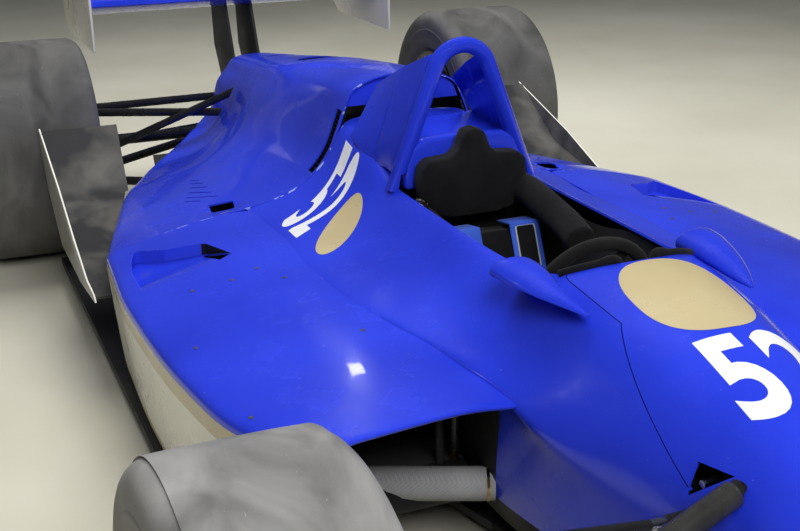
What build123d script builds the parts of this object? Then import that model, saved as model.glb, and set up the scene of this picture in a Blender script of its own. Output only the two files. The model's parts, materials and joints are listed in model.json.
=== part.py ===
from build123d import *
import os
from math import cos, radians, sin

# Open wheel racing car, late 1980s oval and road course type, with ground effect tunnels.
# Millimetres. +X is forwards, +Y is to the driver's left, +Z is up. The origin is on the
# ground, in the middle of the car's length and width. Pieces that come in pairs are made
# for the left side and mirrored to the right.

# Driving dimensions
HALF_LENGTH = 2290
FRONT_AXLE_X, REAR_AXLE_X = 1360, -1485
FRONT_TYRE_R, REAR_TYRE_R = 324, 343
FRONT_TYRE_Y, REAR_TYRE_Y = 859, 790      # centre of the tread
FRONT_HALF_TREAD, REAR_HALF_TREAD = 133, 180
BEAD_R = 190                              # 15 inch rims
KINGPIN_Y = 775
STEERING_ARM = 110
SEAM_X = -250                             # front edge of the engine cover
SKIN = 9                                  # thickness of the body panels
POD_NOSE_X = 915
NOSE_SEAM_X = 1480
COVER_TAIL_X = -1600

# Monocoque stations. Columns: x, then half widths and heights of the bottom edge, the lower
# side, the side under the flare, the foot of the flank, the middle of its hollow, the rim,
# the crown's edge, and the height of the crown.
TUB_STATIONS = [
    # x     bottom     low side    side        foot        hollow      rim         edge        crown
    (-250, (200, 45), (285, 140), (285, 400), (415, 440), (268, 492), (182, 606), (166, 640), 642),
    (-60, (204, 45), (287, 140), (287, 400), (440, 440), (270, 484), (180, 572), (166, 592), 594),
    (200, (208, 45), (288, 140), (288, 400), (455, 440), (270, 478), (177, 541), (164, 545), 546),
    (560, (208, 45), (287, 140), (287, 398), (398, 440), (262, 480), (178, 540), (164, 545), 547),
    (790, (206, 47), (284, 140), (284, 392), (345, 430), (252, 474), (186, 522), (138, 576), 594),
    (930, (196, 52), (262, 142), (272, 380), (306, 420), (242, 462), (192, 505), (124, 560), 576),
    (1090, (180, 60), (218, 145), (228, 350), (236, 385), (206, 430), (169, 478), (108, 528), 543),
    (1260, (160, 72), (176, 150), (182, 320), (184, 350), (170, 390), (146, 428), (94, 476), 490),
    (1480, (118, 92), (134, 160), (138, 288), (141, 320), (136, 350), (126, 382), (84, 418), 430),
]
FLARE_LIP = 12                            # thickness of the flank's lower edge

# Cockpit opening and the space below it
COCKPIT_REAR_X, COCKPIT_FRONT_X, COCKPIT_CROWN_X = 20, 775, 815
COCKPIT_HALF_W, COCKPIT_FRONT_HALF_W = 162, 138
COCKPIT_FLOOR_Z = 75
FOOTWELL_FRONT_X, FOOTWELL_HALF_W, FOOTWELL_TOP_Z = 1170, 128, 430

# Side pod stations. Columns: x, lower edge, outer top edge, middle of the top, inner edge.
POD_STATIONS = [
    (-250, (744, 62), (772, 365), (600, 412), (415, 441), (300, 443)),
    (44, (756, 62), (792, 366), (620, 416), (440, 443), (300, 445)),
    (400, (752, 62), (782, 368), (610, 415), (430, 442), (300, 444)),
    (715, (712, 62), (745, 374), (560, 412), (370, 434), (275, 436)),
    (850, (650, 62), (690, 386), (520, 412), (330, 426), (262, 428)),
    (915, (560, 62), (605, 398), (470, 412), (312, 420), (255, 422)),
]
POD_EDGE_R, POD_TOP_R = 26, 500
TUNNEL_LIP_X, TUNNEL_LIP_Z, TUNNEL_LIP_R = 703, 163, 42

# Engine cover stations, with the rear deck. Columns: x, lower edge, outer top edge, middle of
# the deck, foot of the flank, middle of its hollow, shoulder, edge of the ridge, ridge height.
COVER_STATIONS = [
    (-250, (744, 62), (772, 365), (600, 412), (415, 441), (272, 490), (184, 606), (148, 700), 742),
    (-600, (668, 120), (684, 346), (560, 390), (395, 418), (272, 478), (192, 584), (142, 682), 708),
    (-900, (588, 200), (604, 332), (520, 356), (400, 380), (266, 470), (198, 560), (130, 650), 671),
    (-1200, (462, 275), (478, 305), (420, 322), (330, 350), (234, 436), (180, 522), (118, 606), 626),
    (-1600, (160, 372), (172, 384), (169, 392), (165, 402), (154, 445), (147, 495), (90, 554), 570),
]
POP_OFF_X, POP_OFF_R = -895, 67
TAIL_SLOT_X, TAIL_SLOT_LENGTH, TAIL_SLOT_W = -1290, 90, 34

# Nose cone stations. Columns: x, half width, bottom, top, corner radius.
NOSE_STATIONS = [
    (1480, 140, 92, 430, 52),
    (1760, 118, 100, 350, 46),
    (2060, 88, 108, 248, 38),
    (2290, 46, 122, 168, 20),
]

# Roll hoop, one bent tube
HOOP_X, HOOP_TUBE_R = 80, 18
HOOP_FOOT_Y, HOOP_FOOT_Z, HOOP_APEX_Z, HOOP_BEND_R = 170, 540, 980, 69

os.makedirs("parts", exist_ok=True)


def save(part, name):
    part.label = name
    export_step(part, f"parts/{name}.step")


def save_pair(part, name):
    """Writes the left piece and its mirror image."""
    save(part, name + "_left")
    with BuildPart() as other_side:
        mirror(part, about=Plane.XZ)
    save(other_side.part, name + "_right")


def rod(start, end, radius):
    """A round bar between two points, added to the part being built."""
    start, end = Vector(*start), Vector(*end)
    with BuildSketch(Plane(origin=start, z_dir=end - start)) as bar:
        Circle(radius)
    extrude(bar.sketch, amount=(end - start).length)


def plate(outline, y, thickness):
    """A flat sheet along the car, from its outline in X and Z, growing outboard from y."""
    with BuildSketch(Plane.XZ.offset(-y)) as sheet:
        with BuildLine():
            Polyline(*outline, close=True)
        make_face()
    extrude(sheet.sketch, amount=-thickness)


# Monocoque, lofted through its stations and hollowed for the driver
def tub_section(x, bottom, low, side, foot, hollow, rim, edge, crown):
    under_foot = (foot[0] - 1, foot[1] - FLARE_LIP)
    with BuildSketch(Plane.YZ.offset(x)) as section:
        with BuildLine():
            Polyline((0, bottom[1]), bottom, low, side, under_foot, foot)
            ThreePointArc(foot, hollow, rim)
            Polyline(rim, edge, (0, crown))
            mirror(about=Plane.YZ)
        make_face()
    return section.sketch


with BuildPart() as hull:
    loft([tub_section(*station) for station in TUB_STATIONS])

with BuildPart() as cockpit_space:
    with BuildSketch(Plane.XY.offset(COCKPIT_FLOOR_Z)):
        with BuildLine():
            Polyline((COCKPIT_FRONT_X, COCKPIT_FRONT_HALF_W), (640, COCKPIT_HALF_W),
                     (COCKPIT_REAR_X, COCKPIT_HALF_W), (COCKPIT_REAR_X, -COCKPIT_HALF_W),
                     (640, -COCKPIT_HALF_W), (COCKPIT_FRONT_X, -COCKPIT_FRONT_HALF_W))
            ThreePointArc((COCKPIT_FRONT_X, -COCKPIT_FRONT_HALF_W), (COCKPIT_CROWN_X, 0),
                          (COCKPIT_FRONT_X, COCKPIT_FRONT_HALF_W))
        make_face()
    extrude(amount=700)
    with BuildSketch(Plane.YZ.offset(600)):
        with Locations((0, (COCKPIT_FLOOR_Z + FOOTWELL_TOP_Z) / 2)):
            RectangleRounded(2 * FOOTWELL_HALF_W, FOOTWELL_TOP_Z - COCKPIT_FLOOR_Z, 40)
    extrude(amount=FOOTWELL_FRONT_X - 600)

# Steering, placed here because its bores go through the monocoque
RACK_X, RACK_Z, RACK_BORE_R = FRONT_AXLE_X - STEERING_ARM, 352, 22
TRACK_ROD_Z = 419                         # height of the track rods' outer ends
WHEEL_CENTRE = Vector(655, 0, 462)
COLUMN_DIRECTION = Vector(500, 0, -140)
COLUMN_END_X, COLUMN_R = 1195, 11
column_plane = Plane(origin=WHEEL_CENTRE, z_dir=COLUMN_DIRECTION)
column_length = (COLUMN_END_X - WHEEL_CENTRE.X) / COLUMN_DIRECTION.normalized().X

with BuildPart() as bores:
    rod((RACK_X, -400, RACK_Z), (RACK_X, 400, RACK_Z), RACK_BORE_R)
    with BuildSketch(column_plane):
        Circle(COLUMN_R + 3)
    extrude(amount=column_length + 6)

# Pockets in the flanks where the front push rods go in
with BuildPart() as push_rod_pockets:
    with BuildSketch(Plane.XZ.offset(-112)):
        with BuildLine():
            Polyline((1228, 431), (1330, 440), (1243, 386), close=True)
        make_face()
    extrude(amount=-100)
    mirror(about=Plane.XZ)

# The scuttle is the removable top ahead of the cockpit
with BuildPart() as scuttle_region:
    with BuildSketch(Plane.XZ):
        with BuildLine():
            Polyline((760, 750), (760, 500), (1000, 452), (1230, 405), (NOSE_SEAM_X + 10, 372),
                     (NOSE_SEAM_X + 10, 750), close=True)
        make_face()
    extrude(amount=400, both=True)

with BuildPart() as tub:
    add(hull.part)
    add(cockpit_space.part, mode=Mode.SUBTRACT)
    add(scuttle_region.part, mode=Mode.SUBTRACT)
    add(bores.part, mode=Mode.SUBTRACT)
    add(push_rod_pockets.part, mode=Mode.SUBTRACT)
save(tub.part, "tub")

with BuildPart() as scuttle:
    add(hull.part)
    add(scuttle_region.part, mode=Mode.INTERSECT)
    add(cockpit_space.part, mode=Mode.SUBTRACT)
    add(push_rod_pockets.part, mode=Mode.SUBTRACT)
save(scuttle.part, "scuttle")

# Nose cone with its flattened tip
with BuildPart() as nose_cone:
    for x, half_width, bottom, top, corner in NOSE_STATIONS:
        with BuildSketch(Plane.YZ.offset(x)):
            with Locations((0, (bottom + top) / 2)):
                RectangleRounded(2 * half_width, top - bottom, corner)
    loft()
save(nose_cone.part, "nose_cone")


# Front wing, one half on each side of the nose: main plane, flap and endplate
def aerofoil(x, z, chord, thickness, angle, y, span):
    """A wing section, leading edge at x and z, set nose down by angle, growing outboard."""
    section_plane = Plane(origin=(x, y, z), x_dir=(-cos(radians(angle)), 0, sin(radians(angle))),
                          z_dir=(0, 1, 0))
    side = 1 if section_plane.y_dir.Z > 0 else -1
    with BuildSketch(section_plane) as section:
        with BuildLine():
            ThreePointArc((0, 0), (0.28 * chord, -0.95 * side * thickness), (chord, 0))
            ThreePointArc((chord, 0), (0.45 * chord, 0.10 * side * thickness),
                          (0.04 * chord, 0.35 * side * thickness))
            Line((0.04 * chord, 0.35 * side * thickness), (0, 0))
        make_face()
    extrude(section.sketch, amount=span)


FRONT_WING_Y, FRONT_WING_SPAN = 60, 640
with BuildPart() as front_wing:
    aerofoil(2150, 150, 270, 30, 4, FRONT_WING_Y, FRONT_WING_SPAN)
    aerofoil(1900, 172, 120, 16, 24, FRONT_WING_Y + 100, FRONT_WING_SPAN - 100)
    plate([(2190, 92), (2190, 150), (2110, 215), (1800, 262), (1752, 262), (1752, 92)],
          FRONT_WING_Y + FRONT_WING_SPAN, 10)
    plate([(1925, 150), (1790, 170), (1790, 215), (1905, 180)], FRONT_WING_Y + 92, 8)
    add(nose_cone.part, mode=Mode.SUBTRACT)
save_pair(front_wing.part, "front_wing")


# Side pods, hollow panels open to the front and the rear
def pod_section(x, inset, lower, outer, middle, foot, inner):
    """Section of a pod. An inset of the skin's thickness gives its inside."""
    base = lower[1] - inset
    with BuildSketch(Plane.YZ.offset(x)) as section:
        with BuildLine():
            FilletPolyline((lower[0] - inset, base), (outer[0] - inset, outer[1] - inset * 0.6),
                           (middle[0], middle[1] - inset), (foot[0], foot[1] - inset),
                           radius=(POD_EDGE_R, POD_TOP_R))
            Polyline((foot[0], foot[1] - inset), (inner[0] - 3 * inset, inner[1] - inset),
                     (inner[0] - 3 * inset, base), (lower[0] - inset, base))
        make_face()
    return section.sketch


POD_ENDS = {SEAM_X: -4, POD_NOSE_X: 4}    # the inside runs past the skin's ends
with BuildPart() as pod_inside:
    loft([pod_section(x + POD_ENDS.get(x, 0), SKIN, *points) for x, *points in POD_STATIONS])

with BuildPart() as pod_outside:
    loft([pod_section(x, 0, *points) for x, *points in POD_STATIONS])

# The duct's outlet is pressed into the top of each pod. Its floor is flush in front and runs
# down to a wall at the rear, with a hole in the inner corner.
OUTLET_OUTLINE = [(67, 746), (43, 572), (21, 537), (-88, 568), (-132, 653), (-190, 716)]
OUTLET_HOLE = [(24, 543), (36, 562), (-20, 568), (-78, 571)]
OUTLET_ALONG, OUTLET_ACROSS = (20, 168, -37), (0.9867, -0.112, 0.0247)
OUTLET_FRONT, OUTLET_FLOOR = (57, 662, 403), [(40, -8), (0, 0), (-150, 27), (-290, 27)]


def outlet_space(margin, thickness):
    """The space above the outlet's floor, with its walls moved out and its floor moved down."""
    with BuildPart() as space:
        with BuildSketch(Plane.XY.offset(330)):
            with BuildLine():
                Polyline(*OUTLET_OUTLINE, close=True)
            make_face()
            if margin:
                offset(amount=margin, kind=Kind.INTERSECTION)
        extrude(amount=130)
        with BuildSketch(Plane(origin=OUTLET_FRONT, x_dir=OUTLET_ACROSS, z_dir=OUTLET_ALONG)):
            with BuildLine():
                Polyline(*[(x, depth + thickness) for x, depth in OUTLET_FLOOR], (-290, -120),
                         (40, -120), close=True)
            make_face()
        extrude(amount=220, both=True, mode=Mode.INTERSECT)
    return space.part


with BuildPart() as outlet_pan:
    add(outlet_space(8, 6))
    add(pod_outside.part, mode=Mode.INTERSECT)

with BuildPart() as sidepod:
    add(pod_outside.part)
    add(pod_inside.part, mode=Mode.SUBTRACT)
    add(outlet_pan.part)
    add(outlet_space(0, 0), mode=Mode.SUBTRACT)
    with BuildSketch(Plane.XY.offset(330)):
        with BuildLine():
            Polyline(*OUTLET_HOLE, close=True)
        make_face()
    extrude(amount=110, mode=Mode.SUBTRACT)
    with BuildSketch(Plane.XZ):
        with BuildLine():
            Polyline((748, 0), (748, 190), (890, 392), (1000, 392), (1000, 0), close=True)
        make_face()
    extrude(amount=-900, mode=Mode.SUBTRACT)
    add(hull.part, mode=Mode.SUBTRACT)
save_pair(sidepod.part, "sidepod")


# Engine cover with the rear deck, a shell open below, in front and behind
def cover_section(x, inset, lower, outer, middle, foot, hollow, shoulder, edge, ridge):
    base = lower[1] - 30 * (inset > 0)
    foot, shoulder = (foot[0] - inset / 2, foot[1] - inset), (shoulder[0] - inset, shoulder[1] - inset / 2)
    with BuildSketch(Plane.YZ.offset(x)) as section:
        with BuildLine():
            Polyline((0, base), (lower[0] - inset, base), (outer[0] - inset, outer[1] - inset * 0.6),
                     (middle[0], middle[1] - inset), foot)
            ThreePointArc(foot, (hollow[0] - inset * 0.7, hollow[1] - inset * 0.7), shoulder)
            Polyline(shoulder, (edge[0] - inset, edge[1] - inset * 0.6))
            ThreePointArc((edge[0] - inset, edge[1] - inset * 0.6),
                          (edge[0] / 2, (edge[1] + 3 * ridge) / 4 - inset), (0, ridge - inset))
            mirror(about=Plane.YZ)
        make_face()
    return section.sketch


COVER_ENDS = {SEAM_X: 4, COVER_TAIL_X: -4}
with BuildPart() as cover_inside:
    loft([cover_section(x + COVER_ENDS.get(x, 0), SKIN, *points) for x, *points in COVER_STATIONS])

with BuildPart() as cover_skin:
    loft([cover_section(x, 0, *points) for x, *points in COVER_STATIONS])

# Openings in the rear deck on each side: a slot, and louvres whose columns are the outer end's
# X and Y and the inner end's.
DECK_SLOT = [(-373, 489), (-351, 432), (-311, 438), (-325, 491)]
LOUVRE_HALF_W = 4
LOUVRES = [
    (-492, 523, -446, 490),
    (-527, 510, -437, 446),
    (-575, 493, -498, 447),
    (-625, 476, -570, 442),
    (-675, 464, -632, 438),
    (-714, 455, -686, 436),
]
with BuildPart() as deck_openings:
    with BuildSketch(Plane.XY.offset(340)):
        with BuildLine():
            Polyline(*DECK_SLOT, close=True)
        make_face()
        for outer_x, outer_y, inner_x, inner_y in LOUVRES:
            with BuildLine():
                Polyline((outer_x, outer_y - LOUVRE_HALF_W), (inner_x, inner_y - LOUVRE_HALF_W),
                         (inner_x, inner_y + LOUVRE_HALF_W), (outer_x, outer_y + LOUVRE_HALF_W),
                         close=True)
            make_face()
    extrude(amount=110)
    mirror(about=Plane.XZ)

with BuildPart() as engine_cover:
    add(cover_skin.part)
    add(cover_inside.part, mode=Mode.SUBTRACT)
    add(deck_openings.part, mode=Mode.SUBTRACT)
    with BuildSketch(Plane.XY.offset(500)):
        with Locations((POP_OFF_X, 0)):
            Circle(POP_OFF_R)
        with Locations((TAIL_SLOT_X, 0)):
            SlotOverall(TAIL_SLOT_LENGTH, TAIL_SLOT_W, rotation=90)
    extrude(amount=300, mode=Mode.SUBTRACT)
    with BuildSketch(Plane.XZ):
        with Locations((REAR_AXLE_X, 250)):
            Rectangle(120, 244)
    extrude(amount=400, both=True, mode=Mode.SUBTRACT)
save(engine_cover.part, "engine_cover")

# Underbody: a flat keel below the monocoque and a venturi tunnel on each side
FLOOR_Z, FLOOR_THICKNESS, FLOOR_HALF_W = 26, 18, 752
UNDERBODY_REAR_X, THROAT_Z = -1400, 40
FLOOR_EDGE_Y, FLOOR_EDGE_REAR_X = 765, -1240
with BuildPart() as underbody:
    with BuildSketch(Plane.XZ):
        with BuildLine():
            Line((TUNNEL_LIP_X, TUNNEL_LIP_Z + TUNNEL_LIP_R), (-260, 200))
            Spline((-260, 200), (-800, 218), (UNDERBODY_REAR_X, 300))
            Line((UNDERBODY_REAR_X, 300), (UNDERBODY_REAR_X, 286))
            Spline((UNDERBODY_REAR_X, 286), (-900, 150), (-300, THROAT_Z))
            Line((-300, THROAT_Z), (420, THROAT_Z))
            Line((420, THROAT_Z), (TUNNEL_LIP_X, TUNNEL_LIP_Z - TUNNEL_LIP_R))
            ThreePointArc((TUNNEL_LIP_X, TUNNEL_LIP_Z - TUNNEL_LIP_R),
                          (TUNNEL_LIP_X + TUNNEL_LIP_R, TUNNEL_LIP_Z),
                          (TUNNEL_LIP_X, TUNNEL_LIP_Z + TUNNEL_LIP_R))
        make_face()
    extrude(amount=FLOOR_HALF_W, both=True)
    with BuildSketch(Plane.XY):
        with BuildLine():
            Polyline((800, 590), (660, 680), (420, FLOOR_HALF_W - 26), (-260, FLOOR_HALF_W - 26),
                     (-620, 630), (-900, 550), (-1160, 445), (UNDERBODY_REAR_X, 420),
                     (UNDERBODY_REAR_X, 900), (800, 900), close=True)
        make_face()
        mirror(about=Plane.XZ)
    extrude(amount=400, mode=Mode.SUBTRACT)
    with BuildSketch(Plane.XY):
        with Locations((-300, 0)):
            Rectangle(2300, 2 * 290)
    extrude(amount=400, mode=Mode.SUBTRACT)
    with BuildSketch(Plane.XY.offset(FLOOR_Z)):
        with BuildLine():
            Polyline((1000, 0), (1000, 150), (700, 225), (420, 300), (-260, 300), (-820, 300),
                     (-1000, 200), (-1250, 120), (-1250, 0))
            mirror(about=Plane.XZ)
        make_face()
    extrude(amount=FLOOR_THICKNESS)
    with BuildSketch(Plane.XY.offset(FLOOR_Z)):
        with BuildLine():
            Polyline((520, 640), (520, 700), (420, FLOOR_EDGE_Y), (FLOOR_EDGE_REAR_X, FLOOR_EDGE_Y),
                     (FLOOR_EDGE_REAR_X, 640), close=True)
        make_face()
        mirror(about=Plane.XZ)
    extrude(amount=FLOOR_THICKNESS)
    add(hull.part, mode=Mode.SUBTRACT)
save(underbody.part, "underbody")

# Mirrors in teardrop fairings at the cockpit's front corners, hollow behind for the glass.
# Columns: x, centre in Y and Z, half width, half height.
MIRROR_STATIONS = [
    (682, 197, 566, 45, 35),
    (750, 194, 568, 41, 33),
    (840, 182, 560, 29, 24),
    (925, 166, 550, 8, 7),
]
with BuildPart() as mirror_pod:
    for x, y, z, half_w, half_h in MIRROR_STATIONS:
        with BuildSketch(Plane.YZ.offset(x)):
            with Locations((y, z)):
                Ellipse(half_w, half_h)
    loft()
    with BuildSketch(Plane.YZ.offset(MIRROR_STATIONS[0][0])):
        with Locations((MIRROR_STATIONS[0][1], MIRROR_STATIONS[0][2])):
            Ellipse(MIRROR_STATIONS[0][3] - 5, MIRROR_STATIONS[0][4] - 5)
    extrude(amount=14, mode=Mode.SUBTRACT)
    add(hull.part, mode=Mode.SUBTRACT)
save_pair(mirror_pod.part, "mirror")

# Roll hoop and the fairing behind it: a leaning panel on each side and a deck between them
with BuildPart() as roll_hoop:
    with BuildLine(Plane.YZ.offset(HOOP_X)) as hoop_path:
        FilletPolyline((-HOOP_FOOT_Y, HOOP_FOOT_Z), (0, HOOP_APEX_Z), (HOOP_FOOT_Y, HOOP_FOOT_Z),
                       radius=HOOP_BEND_R)
    with BuildSketch(Plane(origin=hoop_path.line @ 0, z_dir=hoop_path.line % 0)):
        Circle(HOOP_TUBE_R)
    sweep()
    add(hull.part, mode=Mode.SUBTRACT)
save(roll_hoop.part, "roll_hoop")

# Columns: x, outer foot, outer top
FAIRING_STATIONS = [
    (62, (162, 562), (72, 838)),
    (-60, (169, 588), (88, 790)),
    (-172, (176, 616), (104, 734)),
]
FAIRING_THICKNESS, DECK_Z, DECK_THICKNESS = 12, 634, 10
with BuildPart() as hoop_fairing:
    for x, foot, top in FAIRING_STATIONS:
        with BuildSketch(Plane.YZ.offset(x)):
            with BuildLine():
                Polyline(foot, top, (top[0] - FAIRING_THICKNESS, top[1]),
                         (foot[0] - FAIRING_THICKNESS, foot[1]), close=True)
            make_face()
    loft(ruled=True)
    mirror(about=Plane.XZ)
    with BuildSketch(Plane.XY.offset(DECK_Z)):
        with BuildLine():
            Polyline((62, 134), (-172, 156), (-172, -156), (62, -134), close=True)
        make_face()
    extrude(amount=DECK_THICKNESS)
    add(hull.part, mode=Mode.SUBTRACT)
save(hoop_fairing.part, "hoop_fairing")

# Soft pieces of the cockpit, plain here: headrest, side pads and the moulded seat
with BuildPart() as headrest:
    with BuildSketch(Plane.YZ.offset(102)):
        with BuildLine():
            Polyline((0, 683), (30, 680), (38, 634), (118, 612), (134, 596), (134, 556),
                     (112, 508), (76, 482), (0, 480))
            mirror(about=Plane.YZ)
        make_face()
    extrude(amount=54)
    with BuildSketch(Plane.YZ.offset(62)):
        with Locations((0, 610)):
            Rectangle(120, 90)
    extrude(amount=42)
save(headrest.part, "headrest")

with BuildPart() as cockpit_pads:
    with BuildSketch(Plane.YZ.offset(170)):
        with Locations((COCKPIT_HALF_W - 22, 516)):
            RectangleRounded(44, 56, 14)
    extrude(amount=230)
    mirror(about=Plane.XZ)
save(cockpit_pads.part, "cockpit_pads")

SEAT_LINE = [(180, 470), (250, 482), (330, 300), (450, 165), (640, 145), (780, 195)]
with BuildPart() as seat:
    with BuildSketch(Plane.XZ):
        with BuildLine():
            Polyline((COCKPIT_REAR_X, COCKPIT_FLOOR_Z), (COCKPIT_REAR_X, 300), *SEAT_LINE,
                     (780, COCKPIT_FLOOR_Z), close=True)
        make_face()
    extrude(amount=112, both=True)
save(seat.part, "seat")

# Shoulder straps of the harness, lying on the seat
STRAP_Y, STRAP_W = 72, 72
with BuildPart() as harness:
    with BuildSketch(Plane.XZ.offset(-STRAP_Y)):
        with BuildLine():
            Polyline((192, 472.1), (250, 482), (330, 300), (414, 205.5), (418.5, 209.5),
                     (335, 303), (253, 488), (191, 477.4), close=True)
        make_face()
    extrude(amount=STRAP_W / 2, both=True)
    mirror(about=Plane.XZ)
save(harness.part, "harness")

# Engine and gearbox
ENGINE_REAR_X, GEARBOX_REAR_X = -820, -1860
with BuildPart() as engine:
    with BuildSketch(Plane.YZ.offset(SEAM_X)):
        with BuildLine():
            Polyline((0, FLOOR_Z + FLOOR_THICKNESS), (170, FLOOR_Z + FLOOR_THICKNESS), (200, 150),
                     (200, 430), (150, 540), (0, 540))
            mirror(about=Plane.YZ)
        make_face()
    extrude(amount=ENGINE_REAR_X - SEAM_X)
save(engine.part, "engine")

# Columns: x, width, bottom, top
GEARBOX_STATIONS = [
    (ENGINE_REAR_X, 300, 70, 420),
    (-1150, 220, 160, 430),
    (REAR_AXLE_X - 60, 190, 230, 450),
    (GEARBOX_REAR_X, 140, 260, 418),
]
STARTER_R, STARTER_DEPTH, STARTER_Z = 16, 40, 330
OUTPUT_FLANGE_R, OUTPUT_FLANGE_Y = 62, 140
with BuildPart() as gearbox:
    for x, width, bottom, top in GEARBOX_STATIONS:
        with BuildSketch(Plane.YZ.offset(x)):
            with Locations((0, (bottom + top) / 2)):
                RectangleRounded(width, top - bottom, 30)
    loft(ruled=True)
    with BuildSketch(Plane.XZ):
        with Locations((REAR_AXLE_X, REAR_TYRE_R)):
            Circle(OUTPUT_FLANGE_R)
    extrude(amount=OUTPUT_FLANGE_Y, both=True)
    with BuildSketch(Plane.YZ.offset(GEARBOX_REAR_X)):
        with Locations((0, STARTER_Z)):
            Circle(STARTER_R)
    extrude(amount=STARTER_DEPTH, mode=Mode.SUBTRACT)
save(gearbox.part, "gearbox")

# Radiators, standing across the ducts of the pods
with BuildPart() as radiators:
    with Locations(Location((300, 515, 293), (0, 0, -28))):
        Box(58, 340, 176)
    mirror(about=Plane.XZ)
save(radiators.part, "radiators")

# Ramps ahead of the rear tyres, each with its upright plate
RAMP_LINE = [(-350, 231), (-890, 335), (-1118, 480)]
RAMP_OUTER_Y, RAMP_THICKNESS, RAMP_PLATE_THICKNESS = 795, 7, 5
with BuildPart() as tyre_ramp:
    with BuildSketch(Plane.XZ.offset(-560)):
        with BuildLine():
            Polyline(*RAMP_LINE, (-1122, 480 - RAMP_THICKNESS), (-892, 335 - RAMP_THICKNESS),
                     (-350, 231 - RAMP_THICKNESS), close=True)
        make_face()
    extrude(amount=-(RAMP_OUTER_Y - 560))
    with BuildSketch(Plane.XY):
        with BuildLine():
            Polyline((-340, 730), (-600, 660), (-890, 596), (-1130, 575), (-1130, 500),
                     (-340, 500), close=True)
        make_face()
    extrude(amount=600, mode=Mode.SUBTRACT)
    plate([(-1146, 482), (-810, 384), (-598, 305), (-422, 252), (-322, 248), (-300, 235),
           (-527, 209), (-863, 209), (-1060, 323), (-1146, 440)], RAMP_OUTER_Y, RAMP_PLATE_THICKNESS)
    add(cover_skin.part, mode=Mode.SUBTRACT)
    add(sidepod.part, mode=Mode.SUBTRACT)
save_pair(tyre_ramp.part, "tyre_ramp")

# Rear wing on two posts
WING_HALF_SPAN, WING_PLATE_THICKNESS = 532, 8
with BuildPart() as rear_wing_main:
    aerofoil(-1700, 748, 345, 48, 5, -WING_HALF_SPAN, 2 * WING_HALF_SPAN)
save(rear_wing_main.part, "rear_wing_main")

with BuildPart() as rear_wing_flap:
    aerofoil(-2032, 804, 235, 26, 25, -WING_HALF_SPAN, 2 * WING_HALF_SPAN)
save(rear_wing_flap.part, "rear_wing_flap")

with BuildPart() as rear_endplate:
    plate([(-1672, 602), (-1672, 850), (-1740, 914), (-HALF_LENGTH, 914), (-HALF_LENGTH, 650),
           (-2210, 602)], WING_HALF_SPAN, WING_PLATE_THICKNESS)
save_pair(rear_endplate.part, "rear_endplate")

POST_Y, POST_THICKNESS = 41, 10
with BuildPart() as wing_posts:
    plate([(-1644, 405), (-1712, 550), (-1795, 740), (-1985, 740), (-1965, 550), (-1856, 405)],
          POST_Y, POST_THICKNESS)
    mirror(about=Plane.XZ)
    add(rear_wing_main.part, mode=Mode.SUBTRACT)
    add(gearbox.part, mode=Mode.SUBTRACT)
save(wing_posts.part, "wing_posts")

# Uprights. The front ones turn on vertical pins and carry a steering arm.
FRONT_UPRIGHT_Y, FRONT_UPRIGHT_THICKNESS = 748, 52
REAR_UPRIGHT_Y, REAR_UPRIGHT_THICKNESS = 652, 40
KINGPIN_R, KINGPIN_CLEARANCE = 8, 1
UPPER_EYE_Z, LOWER_EYE_Z, EYE_HEIGHT, EYE_R = 438, 190, 20, 20
SPINDLE_R, ROD_EYE_R, ROD_PIN_R = 18, 16, 5


def upright(axle_x, axle_z, y, thickness, half_height, bore_r):
    """The casting that carries a wheel's bearing."""
    with BuildPart() as casting:
        with BuildSketch(Plane.XZ.offset(-y)):
            with BuildLine():
                Polyline((axle_x - 34, axle_z - half_height), (axle_x + 34, axle_z - half_height),
                         (axle_x + 54, axle_z), (axle_x + 34, axle_z + half_height),
                         (axle_x - 34, axle_z + half_height), (axle_x - 54, axle_z), close=True)
            make_face()
            with Locations((axle_x, axle_z)):
                Circle(60)
                Circle(bore_r, mode=Mode.SUBTRACT)
        extrude(amount=-thickness)
    return casting.part


with BuildPart() as front_upright:
    add(upright(FRONT_AXLE_X, FRONT_TYRE_R, FRONT_UPRIGHT_Y, FRONT_UPRIGHT_THICKNESS, 110,
                SPINDLE_R + 1))
    for low, high in ((LOWER_EYE_Z - 2, FRONT_TYRE_R - 108), (FRONT_TYRE_R + 108, UPPER_EYE_Z + 22)):
        rod((FRONT_AXLE_X, KINGPIN_Y, low), (FRONT_AXLE_X, KINGPIN_Y, high), KINGPIN_R)
    with BuildSketch(Plane.XY.offset(TRACK_ROD_Z - 27)):
        with Locations(((FRONT_AXLE_X + RACK_X) / 2 - 14, KINGPIN_Y)):
            SlotOverall(STEERING_ARM, 24)
    extrude(amount=14)
    rod((RACK_X, KINGPIN_Y, TRACK_ROD_Z - 15), (RACK_X, KINGPIN_Y, TRACK_ROD_Z + 12), ROD_PIN_R)
save_pair(front_upright.part, "front_upright")

with BuildPart() as rear_upright:
    add(upright(REAR_AXLE_X, REAR_TYRE_R, REAR_UPRIGHT_Y, REAR_UPRIGHT_THICKNESS, 128,
                SPINDLE_R + 6))
    with BuildSketch(Plane.XY.offset(285)):
        with Locations((REAR_AXLE_X - 85, REAR_UPRIGHT_Y + 20)):
            SlotOverall(100, 30)
    extrude(amount=26)
save_pair(rear_upright.part, "rear_upright")

# Front suspension: upper and lower wishbones, and a thick push rod from the lower one to the
# pocket in the flank
with BuildPart() as front_push_rod:
    rod((1313, 105, 444), (1353, 704, 202), 16)
    add(tub.part, mode=Mode.SUBTRACT)
    add(scuttle.part, mode=Mode.SUBTRACT)

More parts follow.
